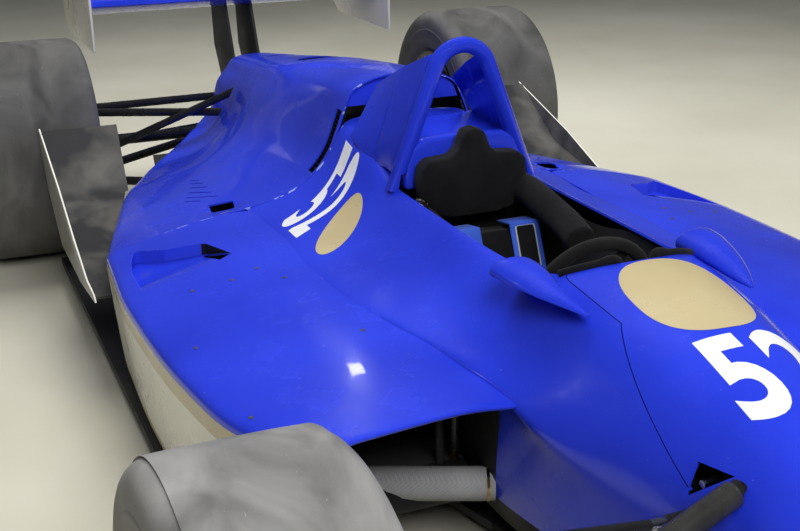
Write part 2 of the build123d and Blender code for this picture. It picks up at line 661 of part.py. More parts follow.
with BuildPart() as front_suspension:
    rod((1590, 90, 395), (1366, 760, 448), 10)
    rod((1450, 112, 392), (1362, 758, 448), 11)
    rod((1150, 120, 120), (1354, 760, 200), 12)
    rod((1590, 90, 130), (1366, 760, 200), 12)
    for z in (UPPER_EYE_Z, LOWER_EYE_Z):
        with BuildSketch(Plane.XY.offset(z)):
            with Locations((FRONT_AXLE_X, KINGPIN_Y)):
                Circle(EYE_R)
        extrude(amount=EYE_HEIGHT)
    for z in (UPPER_EYE_Z, LOWER_EYE_Z):
        with BuildSketch(Plane.XY.offset(z - 5)):
            with Locations((FRONT_AXLE_X, KINGPIN_Y)):
                Circle(KINGPIN_R + KINGPIN_CLEARANCE)
        extrude(amount=EYE_HEIGHT + 10, mode=Mode.SUBTRACT)
    add(hull.part, mode=Mode.SUBTRACT)
    add(nose_cone.part, mode=Mode.SUBTRACT)
    add(front_push_rod.part)
save_pair(front_suspension.part, "front_suspension")

# Rear suspension: upper and lower wishbones and a toe link, from the gearbox, and a push rod
# that ends at the cover. Columns: inner end, outer end, radius.
REAR_RODS = [
    ((-1330, 60, 424), (-1466, 665, 452), 13),
    ((-1650, 60, 424), (-1504, 665, 452), 13),
    ((-1130, 60, 224), (-1464, 665, 230), 14),
    ((-1740, 60, 290), (-1506, 665, 230), 14),
    ((-1790, 40, 300), (-1606, 665, 298), 10),
]
with BuildPart() as rear_push_rod:
    rod((-1296, 150, 513), (-1485, 665, 274), 12)
    add(cover_skin.part, mode=Mode.SUBTRACT)

with BuildPart() as rear_suspension:
    add(rear_push_rod.part)
    for inner, outer, radius in REAR_RODS:
        rod(inner, outer, radius)
    add(gearbox.part, mode=Mode.SUBTRACT)
    add(engine_cover.part, mode=Mode.SUBTRACT)
    add(rear_upright.part, mode=Mode.SUBTRACT)
save_pair(rear_suspension.part, "rear_suspension")


# Wheels and slick tyres, turned about their axles
def wheel_parts(axle_x, radius, centre_y, half_tread, web_y, hub_y, shaft_y, shaft_r, disc_y):
    """A spoked rim with its hub, shaft and brake disc, and the tyre on it."""
    inner, outer = centre_y - half_tread + 10, centre_y + half_tread - 10
    side, far_side = centre_y - half_tread, centre_y + half_tread
    axle = Axis((axle_x, 0, radius), (0, 1, 0))
    with BuildPart() as rim:
        with BuildSketch(Plane.YZ.offset(axle_x)):
            with BuildLine():
                Polyline(*[(y, radius + r) for y, r in (
                    (inner, 203), (inner + 7, 203), (inner + 14, BEAD_R), (outer - 14, BEAD_R),
                    (outer - 7, 203), (outer, 203), (outer - 4, 177), (web_y + 10, 170),
                    (web_y + 22, 64), (web_y + 34, 58), (web_y + 34, 0), (shaft_y, 0),
                    (shaft_y, shaft_r), (hub_y, shaft_r), (hub_y, 48), (web_y - 20, 50),
                    (web_y - 2, 64), (web_y - 12, 168), (inner + 4, 177))], close=True)
            make_face()
        revolve(axis=axle)
        with BuildSketch(Plane.XZ.offset(-web_y)):
            with Locations((axle_x, radius)):
                with PolarLocations(0, 10):
                    with BuildLine():
                        Polyline((78, -9), (152, -26), (158, 0), (152, 26), (78, 9), close=True)
                    make_face()
        extrude(amount=44, both=True, mode=Mode.SUBTRACT)
        with BuildSketch(Plane.XZ.offset(-disc_y)):
            with Locations((axle_x, radius)):
                Circle(142)
        extrude(amount=-14)
        with BuildSketch(Plane.XZ.offset(-(web_y + 34))):
            with Locations((axle_x, radius)):
                RegularPolygon(32, 6)
        extrude(amount=-22)
    with BuildPart() as tyre:
        with BuildSketch(Plane.YZ.offset(axle_x)):
            with BuildLine():
                FilletPolyline(*[(y, radius + r) for y, r in (
                    (inner + 14, BEAD_R), (inner + 7, 204), (side, 226), (side, radius),
                    (far_side, radius), (far_side, 226), (outer - 7, 204), (outer - 14, BEAD_R))],
                    radius=(0, 0, 14, 42, 42, 14, 0, 0), close=True)
            make_face()
        revolve(axis=axle)
    return rim.part, tyre.part


front_rim, front_tyre = wheel_parts(FRONT_AXLE_X, FRONT_TYRE_R, FRONT_TYRE_Y, FRONT_HALF_TREAD,
                                    890, 806, 752, SPINDLE_R, 812)
save_pair(front_rim, "front_wheel")
save_pair(front_tyre, "front_tyre")
rear_rim, rear_tyre = wheel_parts(REAR_AXLE_X, REAR_TYRE_R, REAR_TYRE_Y, REAR_HALF_TREAD,
                                  868, 698, OUTPUT_FLANGE_Y + 1, SPINDLE_R, 712)
save_pair(rear_rim, "rear_wheel")
save_pair(rear_tyre, "rear_tyre")

# Steering wheel on its column, and the rack with its track rods
with BuildPart() as steering_wheel:
    with Locations(column_plane):
        Torus(122, 13)
    with BuildSketch(column_plane):
        with PolarLocations(0, 3, start_angle=90):
            with Locations((60, 0)):
                Rectangle(104, 24)
        Circle(34)
    extrude(amount=3, both=True)
    with BuildSketch(column_plane):
        Circle(COLUMN_R)
    extrude(amount=column_length)
save(steering_wheel.part, "steering_wheel")

with BuildPart() as steering_rack:
    rod((RACK_X, -225, RACK_Z), (RACK_X, 225, RACK_Z), 13)
    for side in (-1, 1):
        rod((RACK_X, side * 213, RACK_Z), (RACK_X, side * KINGPIN_Y, TRACK_ROD_Z), 9)
        rod((RACK_X, side * KINGPIN_Y, TRACK_ROD_Z - 9), (RACK_X, side * KINGPIN_Y, TRACK_ROD_Z + 9),
            ROD_EYE_R)
    for side in (-1, 1):
        with BuildSketch(Plane.XY.offset(TRACK_ROD_Z - 16)):
            with Locations((RACK_X, side * KINGPIN_Y)):
                Circle(ROD_PIN_R + 5.5)
        extrude(amount=32, mode=Mode.SUBTRACT)
save(steering_rack.part, "steering_rack")
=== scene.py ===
# %% [markdown]
# # An open wheel racing car, dressed over its construction model
# The construction model gives every piece its place and every joint its axis. This lesson adds
# what the eye sees: painted skins with soft highlights, worn slicks, padding, webbing, seams.
# All lengths are metres, +X points forwards, +Y to the driver's left and +Z up.

# %% Load the frame
import bmesh
import bpy
import json
import math
from mathutils import Matrix, Vector
from mathutils.bvhtree import BVHTree

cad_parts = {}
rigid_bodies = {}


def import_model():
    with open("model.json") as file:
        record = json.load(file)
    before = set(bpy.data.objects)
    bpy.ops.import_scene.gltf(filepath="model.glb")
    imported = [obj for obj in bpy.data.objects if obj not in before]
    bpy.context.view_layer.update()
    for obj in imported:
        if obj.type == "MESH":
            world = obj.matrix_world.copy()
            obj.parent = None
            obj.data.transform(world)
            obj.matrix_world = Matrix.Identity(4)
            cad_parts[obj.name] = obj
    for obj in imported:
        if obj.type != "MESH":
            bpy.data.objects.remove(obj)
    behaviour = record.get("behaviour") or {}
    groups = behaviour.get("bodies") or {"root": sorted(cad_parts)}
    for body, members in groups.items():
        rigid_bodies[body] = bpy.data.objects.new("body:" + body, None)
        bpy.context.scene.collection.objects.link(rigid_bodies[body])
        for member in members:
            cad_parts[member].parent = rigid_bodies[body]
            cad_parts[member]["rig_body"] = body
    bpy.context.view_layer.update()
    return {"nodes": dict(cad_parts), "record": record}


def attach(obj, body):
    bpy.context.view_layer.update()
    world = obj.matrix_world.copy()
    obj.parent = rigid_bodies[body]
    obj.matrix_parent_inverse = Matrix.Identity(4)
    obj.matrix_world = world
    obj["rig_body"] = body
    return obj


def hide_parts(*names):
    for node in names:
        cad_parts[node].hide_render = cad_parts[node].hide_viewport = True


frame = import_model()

nodes = frame["nodes"]
SIDES = (("left", 1), ("right", -1))

# %% [markdown]
# ## The camera
# The photograph looks down over the car's front right corner. The camera could be turned by
# hand until the picture fits, but its position was worked out from the known sizes of the
# tyres, the wheelbase and the rear wing, so it is placed by numbers and fits everywhere.

# %% Camera
CAMERA_PLACE = Vector((2.55855, -1.1759, 1.32994))
CAMERA_YAW, CAMERA_PITCH, CAMERA_ROLL = 2.751, 0.3471, -0.0128
FOCAL_PIXELS, PHOTO_WIDTH, SENSOR_WIDTH = 1234.25, 800, 36.0


def camera_matrix(place, yaw, pitch, roll):
    """Columns are the camera's right, up and backward directions."""
    ahead = Vector((math.cos(pitch) * math.cos(yaw), math.cos(pitch) * math.sin(yaw), -math.sin(pitch)))
    level = Vector((math.sin(yaw), -math.cos(yaw), 0))
    upright = level.cross(ahead)
    right = level * math.cos(roll) + upright * math.sin(roll)
    up = upright * math.cos(roll) - level * math.sin(roll)
    return Matrix.Translation(place) @ Matrix((right, up, -ahead)).transposed().to_4x4()


bpy.ops.object.camera_add()
camera = bpy.context.object
camera.matrix_world = camera_matrix(CAMERA_PLACE, CAMERA_YAW, CAMERA_PITCH, CAMERA_ROLL)
camera.data.lens = FOCAL_PIXELS / PHOTO_WIDTH * SENSOR_WIDTH
camera.data.sensor_width = SENSOR_WIDTH
bpy.context.scene.camera = camera
print("lens", round(camera.data.lens, 2), "mm")

# %% [markdown]
# ## The studio
# Glossy paint is judged by what it mirrors. One bright sky over everything would leave no dark
# paint at all, so the room is a pale floor under large soft lamps that the paint doesn't
# mirror, and a few small ones that it does: they draw the glints.

# %% Floor and lamps
bpy.ops.mesh.primitive_plane_add(size=120)
floor = bpy.context.object
floor.name = "floor"

LAMP_AIM = Vector((0.3, 0, 0.3))
LAMPS = [
    # name, place, size, power, whether it shows in reflections
    ("lamp_tail", (-2.6, 0.6, 4.6), 3.4, 285, False),
    ("lamp_front", (4.6, -0.7, 4.4), 3.0, 310, False),
    ("lamp_left", (1.0, 4.8, 3.4), 3.0, 60, False),
    ("glint_tail", (-3.4, 0.5, 3.2), 0.16, 1.6, True),
    ("glint_right", (-1.2, -3.6, 3.0), 0.16, 1.8, True),
    ("glint_left", (0.8, 3.4, 2.8), 0.16, 1.8, True),
]
for lamp_name, place, size, power, in_reflections in LAMPS:
    bpy.ops.object.light_add(type="AREA", location=place)
    lamp = bpy.context.object
    lamp.name = lamp_name
    lamp.data.size = size
    lamp.data.energy = power
    lamp.visible_glossy = in_reflections
    lamp.rotation_euler = (LAMP_AIM - Vector(place)).to_track_quat("-Z", "Y").to_euler()
world = bpy.data.worlds.new("studio")
bpy.context.scene.world = world
world.use_nodes = True
world.node_tree.nodes["Background"].inputs[0].default_value = (0.72, 0.76, 0.86, 1)
world.node_tree.nodes["Background"].inputs[1].default_value = 0.11
bpy.context.scene.view_settings.view_transform = "Standard"

# %% [markdown]
# ## Materials
# The car shows gloss paint, bare composite, rubber, cast metal, cloth and webbing. Each could
# be drawn node by node, but the steps are always the same few, so a small vocabulary of helpers
# keeps every finish readable: noise in the object's own coordinates drives a colour ramp, the
# roughness and a bump, at the scale of the real surface.

# %% Node helpers
class Finish:
    """A Principled material with a few helpers for patterns in object coordinates."""

    def __init__(self, name, colour, roughness=0.5, metallic=0.0, coat=0.0, sheen=0.0):
        self.material = bpy.data.materials.new(name)
        self.material.use_nodes = True
        self.tree = self.material.node_tree
        self.shader = self.tree.nodes["Principled BSDF"]
        self.shader.inputs["Base Color"].default_value = (*colour, 1)
        self.shader.inputs["Roughness"].default_value = roughness
        self.shader.inputs["Metallic"].default_value = metallic
        self.shader.inputs["Coat Weight"].default_value = coat
        self.shader.inputs["Coat Roughness"].default_value = 0.04
        self.shader.inputs["Sheen Weight"].default_value = sheen
        self.coordinates = self.tree.nodes.new("ShaderNodeTexCoord").outputs["Object"]
        self.bump_end = None

    def link(self, start, end):
        self.tree.links.new(start, end)

    def scaled(self, scale):
        mapping = self.tree.nodes.new("ShaderNodeMapping")
        mapping.inputs["Scale"].default_value = scale
        self.link(self.coordinates, mapping.inputs["Vector"])
        return mapping.outputs["Vector"]

    def along(self, axis, shift=0.0):
        """The distance along one axis, with a shift."""
        node = self.tree.nodes.new("ShaderNodeSeparateXYZ")
        self.link(self.coordinates, node.inputs["Vector"])
        return self.math("ADD", node.outputs[axis], shift)

    def noise(self, scale, detail=4.0, stretch=(1, 1, 1), distortion=0.0):
        node = self.tree.nodes.new("ShaderNodeTexNoise")
        node.inputs["Scale"].default_value = scale
        node.inputs["Detail"].default_value = detail
        node.inputs["Distortion"].default_value = distortion
        self.link(self.scaled(stretch), node.inputs["Vector"])
        return node.outputs["Fac"]

    def ramp(self, value, stops):
        node = self.tree.nodes.new("ShaderNodeValToRGB")
        while len(node.color_ramp.elements) < len(stops):
            node.color_ramp.elements.new(0.5)
        for element, (position, colour) in zip(node.color_ramp.elements, stops):
            element.position = position
            element.color = (*colour, 1)
        self.link(value, node.inputs["Fac"])
        return node.outputs["Color"]

    def range(self, value, low, high, start=0.0, end=1.0):
        node = self.tree.nodes.new("ShaderNodeMapRange")
        for socket, number in zip(("From Min", "From Max", "To Min", "To Max"), (start, end, low, high)):
            node.inputs[socket].default_value = number
        self.link(value, node.inputs["Value"])
        return node.outputs["Result"]

    def math(self, operation, first, second=0.0):
        node = self.tree.nodes.new("ShaderNodeMath")
        node.operation = operation
        for socket, value in zip(node.inputs, (first, second)):
            if isinstance(value, (int, float)):
                socket.default_value = value
            else:
                self.link(value, socket)
        return node.outputs["Value"]

    def mix(self, factor, first, second):
        node = self.tree.nodes.new("ShaderNodeMix")
        node.data_type = "RGBA"
        self.link(factor, node.inputs["Factor"])
        for socket, value in zip((node.inputs[6], node.inputs[7]), (first, second)):
            if isinstance(value, tuple):
                socket.default_value = (*value, 1)
            else:
                self.link(value, socket)
        return node.outputs[2]

    def colour(self, value):
        self.link(value, self.shader.inputs["Base Color"])

    def rough(self, value):
        self.link(value, self.shader.inputs["Roughness"])

    def bump(self, value, distance, strength=1.0):
        node = self.tree.nodes.new("ShaderNodeBump")
        node.inputs["Distance"].default_value = distance
        node.inputs["Strength"].default_value = strength
        self.link(value, node.inputs["Height"])
        if self.bump_end:
            self.link(self.bump_end, node.inputs["Normal"])
        self.bump_end = node.outputs["Normal"]
        self.link(self.bump_end, self.shader.inputs["Normal"])


# %% [markdown]
# Paint on a racing car is thin. It is glossy but not even, has specks of dust, and is chipped
# where panels are taken off and put back. One colour under a clear coat would do for a new
# car. Here two shades are mixed in broad clouds, small specks lie on top, and the chips are
# kept to a narrow band at the engine cover's joint.

# %% Paint


def paint(name, colour, dusk, rough=0.2, chipped_at=None):
    """Gloss paint over composite: a clear coat, dull patches, dust and chips along a joint."""
    finish = Finish(name, colour, rough, coat=0.45)
    finish.shader.inputs["Specular IOR Level"].default_value = 0.3
    shade = finish.ramp(finish.noise(3.0, 5), [(0.3, dusk), (0.62, colour)])
    if chipped_at is not None:
        near = finish.math("LESS_THAN", finish.math("ABSOLUTE", finish.along("X", -chipped_at)), 0.005)
        flakes = finish.math("GREATER_THAN", finish.noise(42.0, 10, (1, 0.5, 1)), 0.57)
        shade = finish.mix(finish.math("MULTIPLY", near, flakes), shade, (0.3, 0.38, 0.8))
    specks = finish.math("GREATER_THAN", finish.noise(210.0, 2), 0.79)
    finish.colour(finish.mix(specks, shade, tuple(0.45 + 0.5 * c for c in colour)))
    finish.rough(finish.range(finish.noise(14.0, 6), rough - 0.06, rough + 0.16, 0.35, 0.75))
    finish.bump(finish.noise(6.0, 2), 0.0005, 0.5)
    return finish.material


BLUE, DEEP_BLUE = (0.02, 0.045, 0.65), (0.013, 0.03, 0.5)
COVER_JOINT = -0.25
blue_paint = paint("blue paint", BLUE, DEEP_BLUE, chipped_at=COVER_JOINT)
white_paint = paint("white paint", (0.8, 0.78, 0.69), (0.7, 0.68, 0.59), 0.3)
gold_paint = paint("gold paint", (0.5, 0.42, 0.24), (0.42, 0.34, 0.18), 0.32)
# a lighter blue for the outlet's wall, as a painted reflection on it
outlet_reflection_paint = paint("blue paint lightened with painted reflection", (0.045, 0.075, 0.72), BLUE)
plate_paint = paint("dusty white paint", (0.4, 0.39, 0.36), (0.3, 0.29, 0.27), 0.4)
number_white = paint("white number", (0.75, 0.76, 0.78), (0.68, 0.69, 0.72), 0.3)
seam_dark = Finish("seam shadow", (0.005, 0.008, 0.05), 0.7).material
print("blue paint:", BLUE, "clouded with", DEEP_BLUE)

# %% [markdown]
# A used slick is grey rather than black: dust clings to the tread in clouds, and the surface
# is torn into fine grains. A picture laid round a tyre would show where its ends meet, so
# clouds, scuffs and grain are noise, drawn out in the direction in which the wheel rolls. The
# rear slicks get a much darker grey than the front ones, as painted shade.

# %% Rubber


# dust sets the base grey; for the rear slick it is set darker as painted shade
def rubber(name, dust):
    """Worn slick rubber: clouded with dust, finely torn, with a few pale scuffs."""
    finish = Finish(name, (dust, dust, dust), 0.72)
    clouds = finish.noise(5.5, 9, (1, 1.7, 1), 0.7)
    shade = finish.ramp(clouds, [(position, (dust * share, 0.98 * dust * share, 0.94 * dust * share))
                                 for position, share in ((0.3, 0.62), (0.5, 1.0), (0.72, 1.45))])
    scuffs = finish.math("GREATER_THAN", finish.noise(95.0, 3, (1, 2.2, 1)), 0.74)
    finish.colour(finish.mix(scuffs, shade, (0.27, 0.265, 0.25)))
    finish.rough(finish.range(clouds, 0.6, 0.86, 0.3, 0.7))
    finish.bump(finish.noise(240.0, 5), 0.0005, 0.55)
    finish.bump(finish.noise(26.0, 4, (1, 3, 1)), 0.0006, 0.4)
    return finish.material


front_rubber = rubber("front slick", 0.22)
# the rear slick's grey is lowered from the front's as painted shade, over its dust
shaded_rear_rubber = rubber("rear slick darkened with painted shade", 0.09)

# %% [markdown]
# Pads have a black knitted cover, the belts are blue webbing, and the steering wheel's rim is
# suede. A pattern drawn thread by thread would be finer than the picture can show, so a fine
# stretched noise gives the grain of the threads, and broad ones the folds and the fading.

# %% Cloth


def cloth(name, colour, light, thread=900.0):
    """Close knitted cover: a fine grain of threads over soft folds, a faint sheen and broad fading."""
    finish = Finish(name, colour, 0.95, sheen=0.05)
    finish.colour(finish.ramp(finish.noise(9.0, 5), [(0.3, colour), (0.75, light)]))
    finish.bump(finish.noise(thread, 2, (1, 1.6, 1)), 0.0005, 0.7)
    finish.bump(finish.noise(70.0, 4), 0.0012, 0.35)
    return finish.material


grip_cloth = cloth("black suede", (0.008, 0.008, 0.008), (0.022, 0.02, 0.019))
pad_cloth = cloth("black knitted cover", (0.005, 0.005, 0.0055), (0.013, 0.013, 0.014))
seat_cloth = cloth("black seat cover", (0.005, 0.005, 0.0055), (0.011, 0.011, 0.012), 600)
webbing = cloth("blue webbing", (0.02, 0.06, 0.42), (0.06, 0.14, 0.6), 1200)
label_cloth = cloth("black label", (0.006, 0.006, 0.007), (0.012, 0.012, 0.013), 1500)
thread_pale = cloth("pale stitching", (0.3, 0.32, 0.36), (0.45, 0.46, 0.5), 2000)
soft_black = cloth("black edge trim", (0.006, 0.006, 0.006), (0.014, 0.014, 0.014), 300)

# %% [markdown]
# The arms and the wheels are lacquered black, castings are dull grey, and bolts and nuts are
# bright. All could share one grey, but each scatters light in its own way, so one recipe takes
# a colour, a roughness and how fine the grain is. The radiator's fins are lines drawn by a
# sine over its height, and the fitting at the hoop's foot has lost part of its lacquer.

# %% Metal


def metal(name, colour, rough, metallic=1.0, grain=60.0):
    """Cast, machined or lacquered metal with fingerprints and a fine grain."""
    finish = Finish(name, colour, rough, metallic)
    darker = tuple(0.62 * c for c in colour)
    finish.colour(finish.ramp(finish.noise(grain / 4, 6), [(0.3, darker), (0.6, colour)]))
    finish.rough(finish.range(finish.noise(grain, 4), rough - 0.1, rough + 0.15, 0.3, 0.7))
    finish.bump(finish.noise(grain * 8, 3), 0.0002, 0.5)
    return finish.material


black_metal = metal("satin black lacquer", (0.014, 0.014, 0.015), 0.3, 0.0)
rod_lacquer = metal("grey black lacquer", (0.045, 0.044, 0.042), 0.32, 0.2)
cast_metal = metal("cast magnesium", (0.3, 0.3, 0.29), 0.5, 0.8)
bright_metal = metal("machined alloy", (0.62, 0.62, 0.6), 0.3)
rim_metal = metal("black lacquered rim", (0.03, 0.03, 0.032), 0.3, 0.5)
core_metal = metal("radiator core", (0.05, 0.05, 0.05), 0.6, 0.5)
fins = Finish("radiator fins", (0.06, 0.06, 0.06), 0.5, 0.6)
fin_lines = fins.math("SINE", fins.math("MULTIPLY", fins.along("Z"), 2400.0))
fins.colour(fins.mix(fins.range(fin_lines, 0, 1, -1, 1), (0.012, 0.012, 0.012), (0.13, 0.13, 0.125)))
fins.bump(fin_lines, 0.0008, 0.6)
fin_metal = fins.material
lip_trim = metal("brass edge", (0.6, 0.42, 0.16), 0.3)
chipped = Finish("chipped black fitting", (0.015, 0.015, 0.014), 0.35, 0.2)
crumbs = chipped.noise(150.0, 3)
chips = chipped.math("GREATER_THAN", crumbs, 0.58)
chipped.colour(chipped.mix(chips, (0.014, 0.013, 0.012), (0.5, 0.44, 0.35)))
chipped.bump(crumbs, 0.0012, 0.7)
chipped_fitting = chipped.material
mirror_glass = metal("mirror glass", (0.75, 0.78, 0.8), 0.12, 1.0, 8.0)

# %% [markdown]
# Floors, ducts and the inside of the shell are bare woven composite under a film of dust. A
# flat grey would lose the cloth in it, so a fine check stands for the weave, in two greys that
# are close together, and broad clouds of dust are laid over it. Inside the shell, in the ducts
# and behind openings the composite is made much darker still, as painted shade.

# %% Composite


def laminate(name, light, base=0.03):
    """Woven composite, dull and dusty: a fine check of fibres under grey dirt."""
    finish = Finish(name, (base, base, base), 0.6)
    finish.shader.inputs["Specular IOR Level"].default_value = 0.3
    weave = finish.tree.nodes.new("ShaderNodeTexChecker")
    weave.inputs["Scale"].default_value = 420.0
    finish.link(finish.coordinates, weave.inputs["Vector"])
    dirt = finish.noise(7.0, 8, distortion=0.4)
    threads = finish.mix(weave.outputs["Fac"], (base, base, base), (1.4 * base, 1.4 * base, 1.45 * base))
    finish.colour(finish.mix(finish.range(dirt, 0, 1, 0.42, 0.72), threads, light))
    finish.rough(finish.range(dirt, 0.55, 0.85, 0.35, 0.7))
    finish.bump(weave.outputs["Fac"], 0.0002, 0.4)
    finish.bump(finish.noise(40.0, 5), 0.0008, 0.4)
    return finish.material


dark_laminate = laminate("dark composite", (0.05, 0.05, 0.05))
grey_laminate = laminate("dusty composite", (0.125, 0.12, 0.105), 0.026)
lip_laminate = laminate("scuffed composite", (0.33, 0.32, 0.3), 0.2)
# bare composite darkened as painted shade, for shell insides, ducts and the backs of openings
painted_shade_laminate = laminate("composite darkened with painted shade", (0.012, 0.012, 0.012), 0.008)

# %% [markdown]
# Every piece of the model names the kind of finish it needs. It could be painted piece by
# piece, but a table from kind to finish leaves nothing bare. The floor is plain and pale, and
# a little darker where dust lies on it.

# %% A finish for each kind
SLOT_FINISH = {
    "blue_body": blue_paint, "white_body": white_paint, "carbon": dark_laminate,
    "black_metal": black_metal, "casting": cast_metal, "radiator": core_metal,
    "rim": rim_metal, "padding": pad_cloth, "seat": seat_cloth, "webbing": webbing,
    "grip": grip_cloth,
}
slot_of = {part["node"]: part["material_slot"] for part in frame["record"]["subparts"]}
for node_name, node in nodes.items():
    node.data.materials.clear()
    node.data.materials.append(SLOT_FINISH.get(slot_of[node_name], front_rubber))
SWEPT_FLOOR, DUSTY_FLOOR = (0.62, 0.6, 0.5), (0.5, 0.48, 0.38)
pale_floor = Finish("pale floor", SWEPT_FLOOR, 0.5)
pale_floor.colour(pale_floor.ramp(pale_floor.noise(0.9, 6), [(0.3, DUSTY_FLOOR), (0.7, SWEPT_FLOOR)]))
floor.data.materials.append(pale_floor.material)
print(len(bpy.data.materials), "materials")

# %% [markdown]
# ## Working by hand, in code
# The pieces could be written as bare lists of corners, but a maker wants to see the steps. So
# everything below is modelled the way a person would do it: add a primitive, go into edit mode,
# select, apply an operator. These helpers only keep the selecting short.

# %% Helpers for editing


def deselect():
    if bpy.context.object and bpy.context.object.mode != "OBJECT":
        bpy.ops.object.mode_set(mode="OBJECT")
    bpy.ops.object.select_all(action="DESELECT")


def activate(piece):
    deselect()
    piece.select_set(True)
    bpy.context.view_layer.objects.active = piece


def modify(piece, kind, **settings):
    """Adds a modifier with these settings and applies it."""
    activate(piece)
    bpy.ops.object.modifier_add(type=kind)
    modifier = piece.modifiers[-1]
    for key, value in settings.items():
        setattr(modifier, key, value)
    bpy.ops.object.modifier_apply(modifier=modifier.name)


def edit(piece, faces=None, edges=None, verts=None):
    """Enters edit mode with the parts selected for which the test is true."""
    activate(piece)
    bpy.ops.object.mode_set(mode="EDIT")
    kind = "FACE" if faces else "EDGE" if edges else "VERT"
    bpy.ops.mesh.select_mode(type=kind)
    mesh = bmesh.from_edit_mesh(piece.data)
    for group, test in ((mesh.verts, verts), (mesh.edges, edges), (mesh.faces, faces)):
        for item in group:
            item.select_set(False)
    for group, test in ((mesh.verts, verts), (mesh.edges, edges), (mesh.faces, faces)):
        if test:
            for item in group:
                if test(item):
                    item.select_set(True)
    mesh.select_flush_mode()
    bmesh.update_edit_mesh(piece.data)


def everything(item):
    return True


def place_of(item):
    """Middle of an edge or face."""
    if isinstance(item, bmesh.types.BMEdge):
        return (item.verts[0].co + item.verts[1].co) / 2
    return item.calc_center_median()


def on_side(points, side):
    """Points of the left side, or their mirror image for the right side (-1)."""
    return [(x, side * y, z) for x, y, z in points]


def both_halves(half):
    """A closed outline from its left half, whose first point lies in the middle."""
    return half + [(-y, z) for y, z in half[:0:-1]]


def settle(piece):
    """Puts the object's place into its mesh."""
    activate(piece)
    bpy.ops.object.transform_apply(location=True, rotation=True, scale=True)


def other_side(piece):
    """Turns a left piece into its mirror image on the right."""
    activate(piece)
    piece.scale = (1, -1, 1)
    settle(piece)
    edit(piece, faces=everything)
    bpy.ops.mesh.flip_normals()
    bpy.ops.object.mode_set(mode="OBJECT")


def smooth(piece, degrees=35):
    activate(piece)
    bpy.ops.object.shade_smooth_by_angle(angle=math.radians(degrees))


def dress(piece, name, body, slot, *materials):
    """Names a finished piece, gives it its finishes and the body that it rides on."""
    piece.name = name
    piece.data.name = name
    if materials:
        piece.data.materials.clear()
        for material in materials:
            piece.data.materials.append(material)
    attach(piece, body)
    return piece


# %% [markdown]
# ## The painted skins
# The monocoque, pods and engine cover are moulded in composite, so their surfaces flow without
# a flat facet. Each skin starts as a grid whose rows are laid on stations along the car and is
# rounded by subdivision. Where two panels meet, the shared edges are bevelled and the middle
# of the bevel is pushed in, which leaves the dark joint line of real bodywork.

# %% Skin helpers
LEVELS = 2


def stations_at(table, x):
    """The row of a station table at x, between its neighbours."""
    for (x0, *row0), (x1, *row1) in zip(table, table[1:]):
        if min(x0, x1) <= x <= max(x0, x1):
            share = (x - x0) / (x1 - x0)
            return [(y0 + (y1 - y0) * share, z0 + (z1 - z0) * share)
                    for (y0, z0), (y1, z1) in zip(row0, row1)]
    raise ValueError(x)


def grid(name, rows, finish=None):
    """A grid primitive whose vertices are laid on rows of points, in millimetres."""
    deselect()
    bpy.ops.mesh.primitive_grid_add(x_subdivisions=len(rows[0]) - 1, y_subdivisions=len(rows) - 1)
    piece = bpy.context.object
    piece.name = name
    for vertex, point in zip(piece.data.vertices, (point for row in rows for point in row)):
        vertex.co = Vector(point) / 1000
    if finish:
        across = len(rows[0]) - 1
        for face in piece.data.polygons:
            face.material_index = finish(face.index // across, face.index % across)
    return piece


def face_out(piece, axis_z):
    """Turns the faces so that they look away from a line along the car at this height."""
    turned = 0.0
    for face in piece.data.polygons:
        middle = face.center - Vector((face.center.x, 0, axis_z))
        turned += face.normal.dot(middle) * face.area
    if turned < 0:
        edit(piece, faces=everything)
        bpy.ops.mesh.flip_normals()
        bpy.ops.object.mode_set(mode="OBJECT")


def meeting(*pairs):
    """True for an edge between two faces whose finishes are one of these pairs."""
    return lambda e: len(e.link_faces) == 2 and {f.material_index for f in e.link_faces} in pairs


def groove(piece, on_seam, width=0.0008, depth=0.002):
    """Cuts a dark joint line along the edges for which the test is true."""
    dark = piece.data.materials.find(seam_dark.name)
    if dark < 0:
        dark = len(piece.data.materials)
        piece.data.materials.append(seam_dark)
    edit(piece, edges=on_seam)
    bpy.ops.mesh.bevel(offset=width, segments=2, affect="EDGES", material=dark)
    mesh = bmesh.from_edit_mesh(piece.data)
    middle = [v for v in mesh.verts if all(f.material_index == dark for f in v.link_faces)]
    moves = [(v, v.normal * depth) for v in middle if len(v.link_faces) > 1]
    for vertex, move in moves:
        vertex.co -= move
    bmesh.update_edit_mesh(piece.data)
    bpy.ops.object.mode_set(mode="OBJECT")


def shell(piece, thickness):
    """Gives a skin its thickness, with bare composite inside, darkened as painted shade."""
    piece.data.materials.append(painted_shade_laminate)
    modify(piece, "SOLIDIFY", thickness=thickness, offset=-1,
           material_offset=len(piece.data.materials) - 1)


def tint(piece, material, test):
    """Gives the faces whose middle passes the test another finish."""
    piece.data.materials.append(material)
    for face in piece.data.polygons:
        if test(face.center):
            face.material_index = len(piece.data.materials) - 1


def triangles(piece):
    return sum(len(face.vertices) - 2 for face in piece.data.polygons)


def block(outline, low, high, axis="Z"):
    """A closed block: an outline in the plane across the axis, from low to high, in millimetres."""
    deselect()
    bpy.ops.mesh.primitive_circle_add(vertices=len(outline), fill_type="NGON")
    piece = bpy.context.object
    for vertex, (first, second) in zip(piece.data.vertices, outline):
        point = {"X": (low, first, second), "Y": (first, low, second), "Z": (first, second, low)}[axis]
        vertex.co = Vector(point) / 1000
    rise = [0.0, 0.0, 0.0]
    rise["XYZ".index(axis)] = (high - low) / 1000
    edit(piece, faces=everything)
    bpy.ops.mesh.extrude_region_move(TRANSFORM_OT_translate={"value": rise})
    bpy.ops.mesh.select_all(action="SELECT")
    bpy.ops.mesh.normals_make_consistent(inside=False)
    bpy.ops.object.mode_set(mode="OBJECT")
    return piece


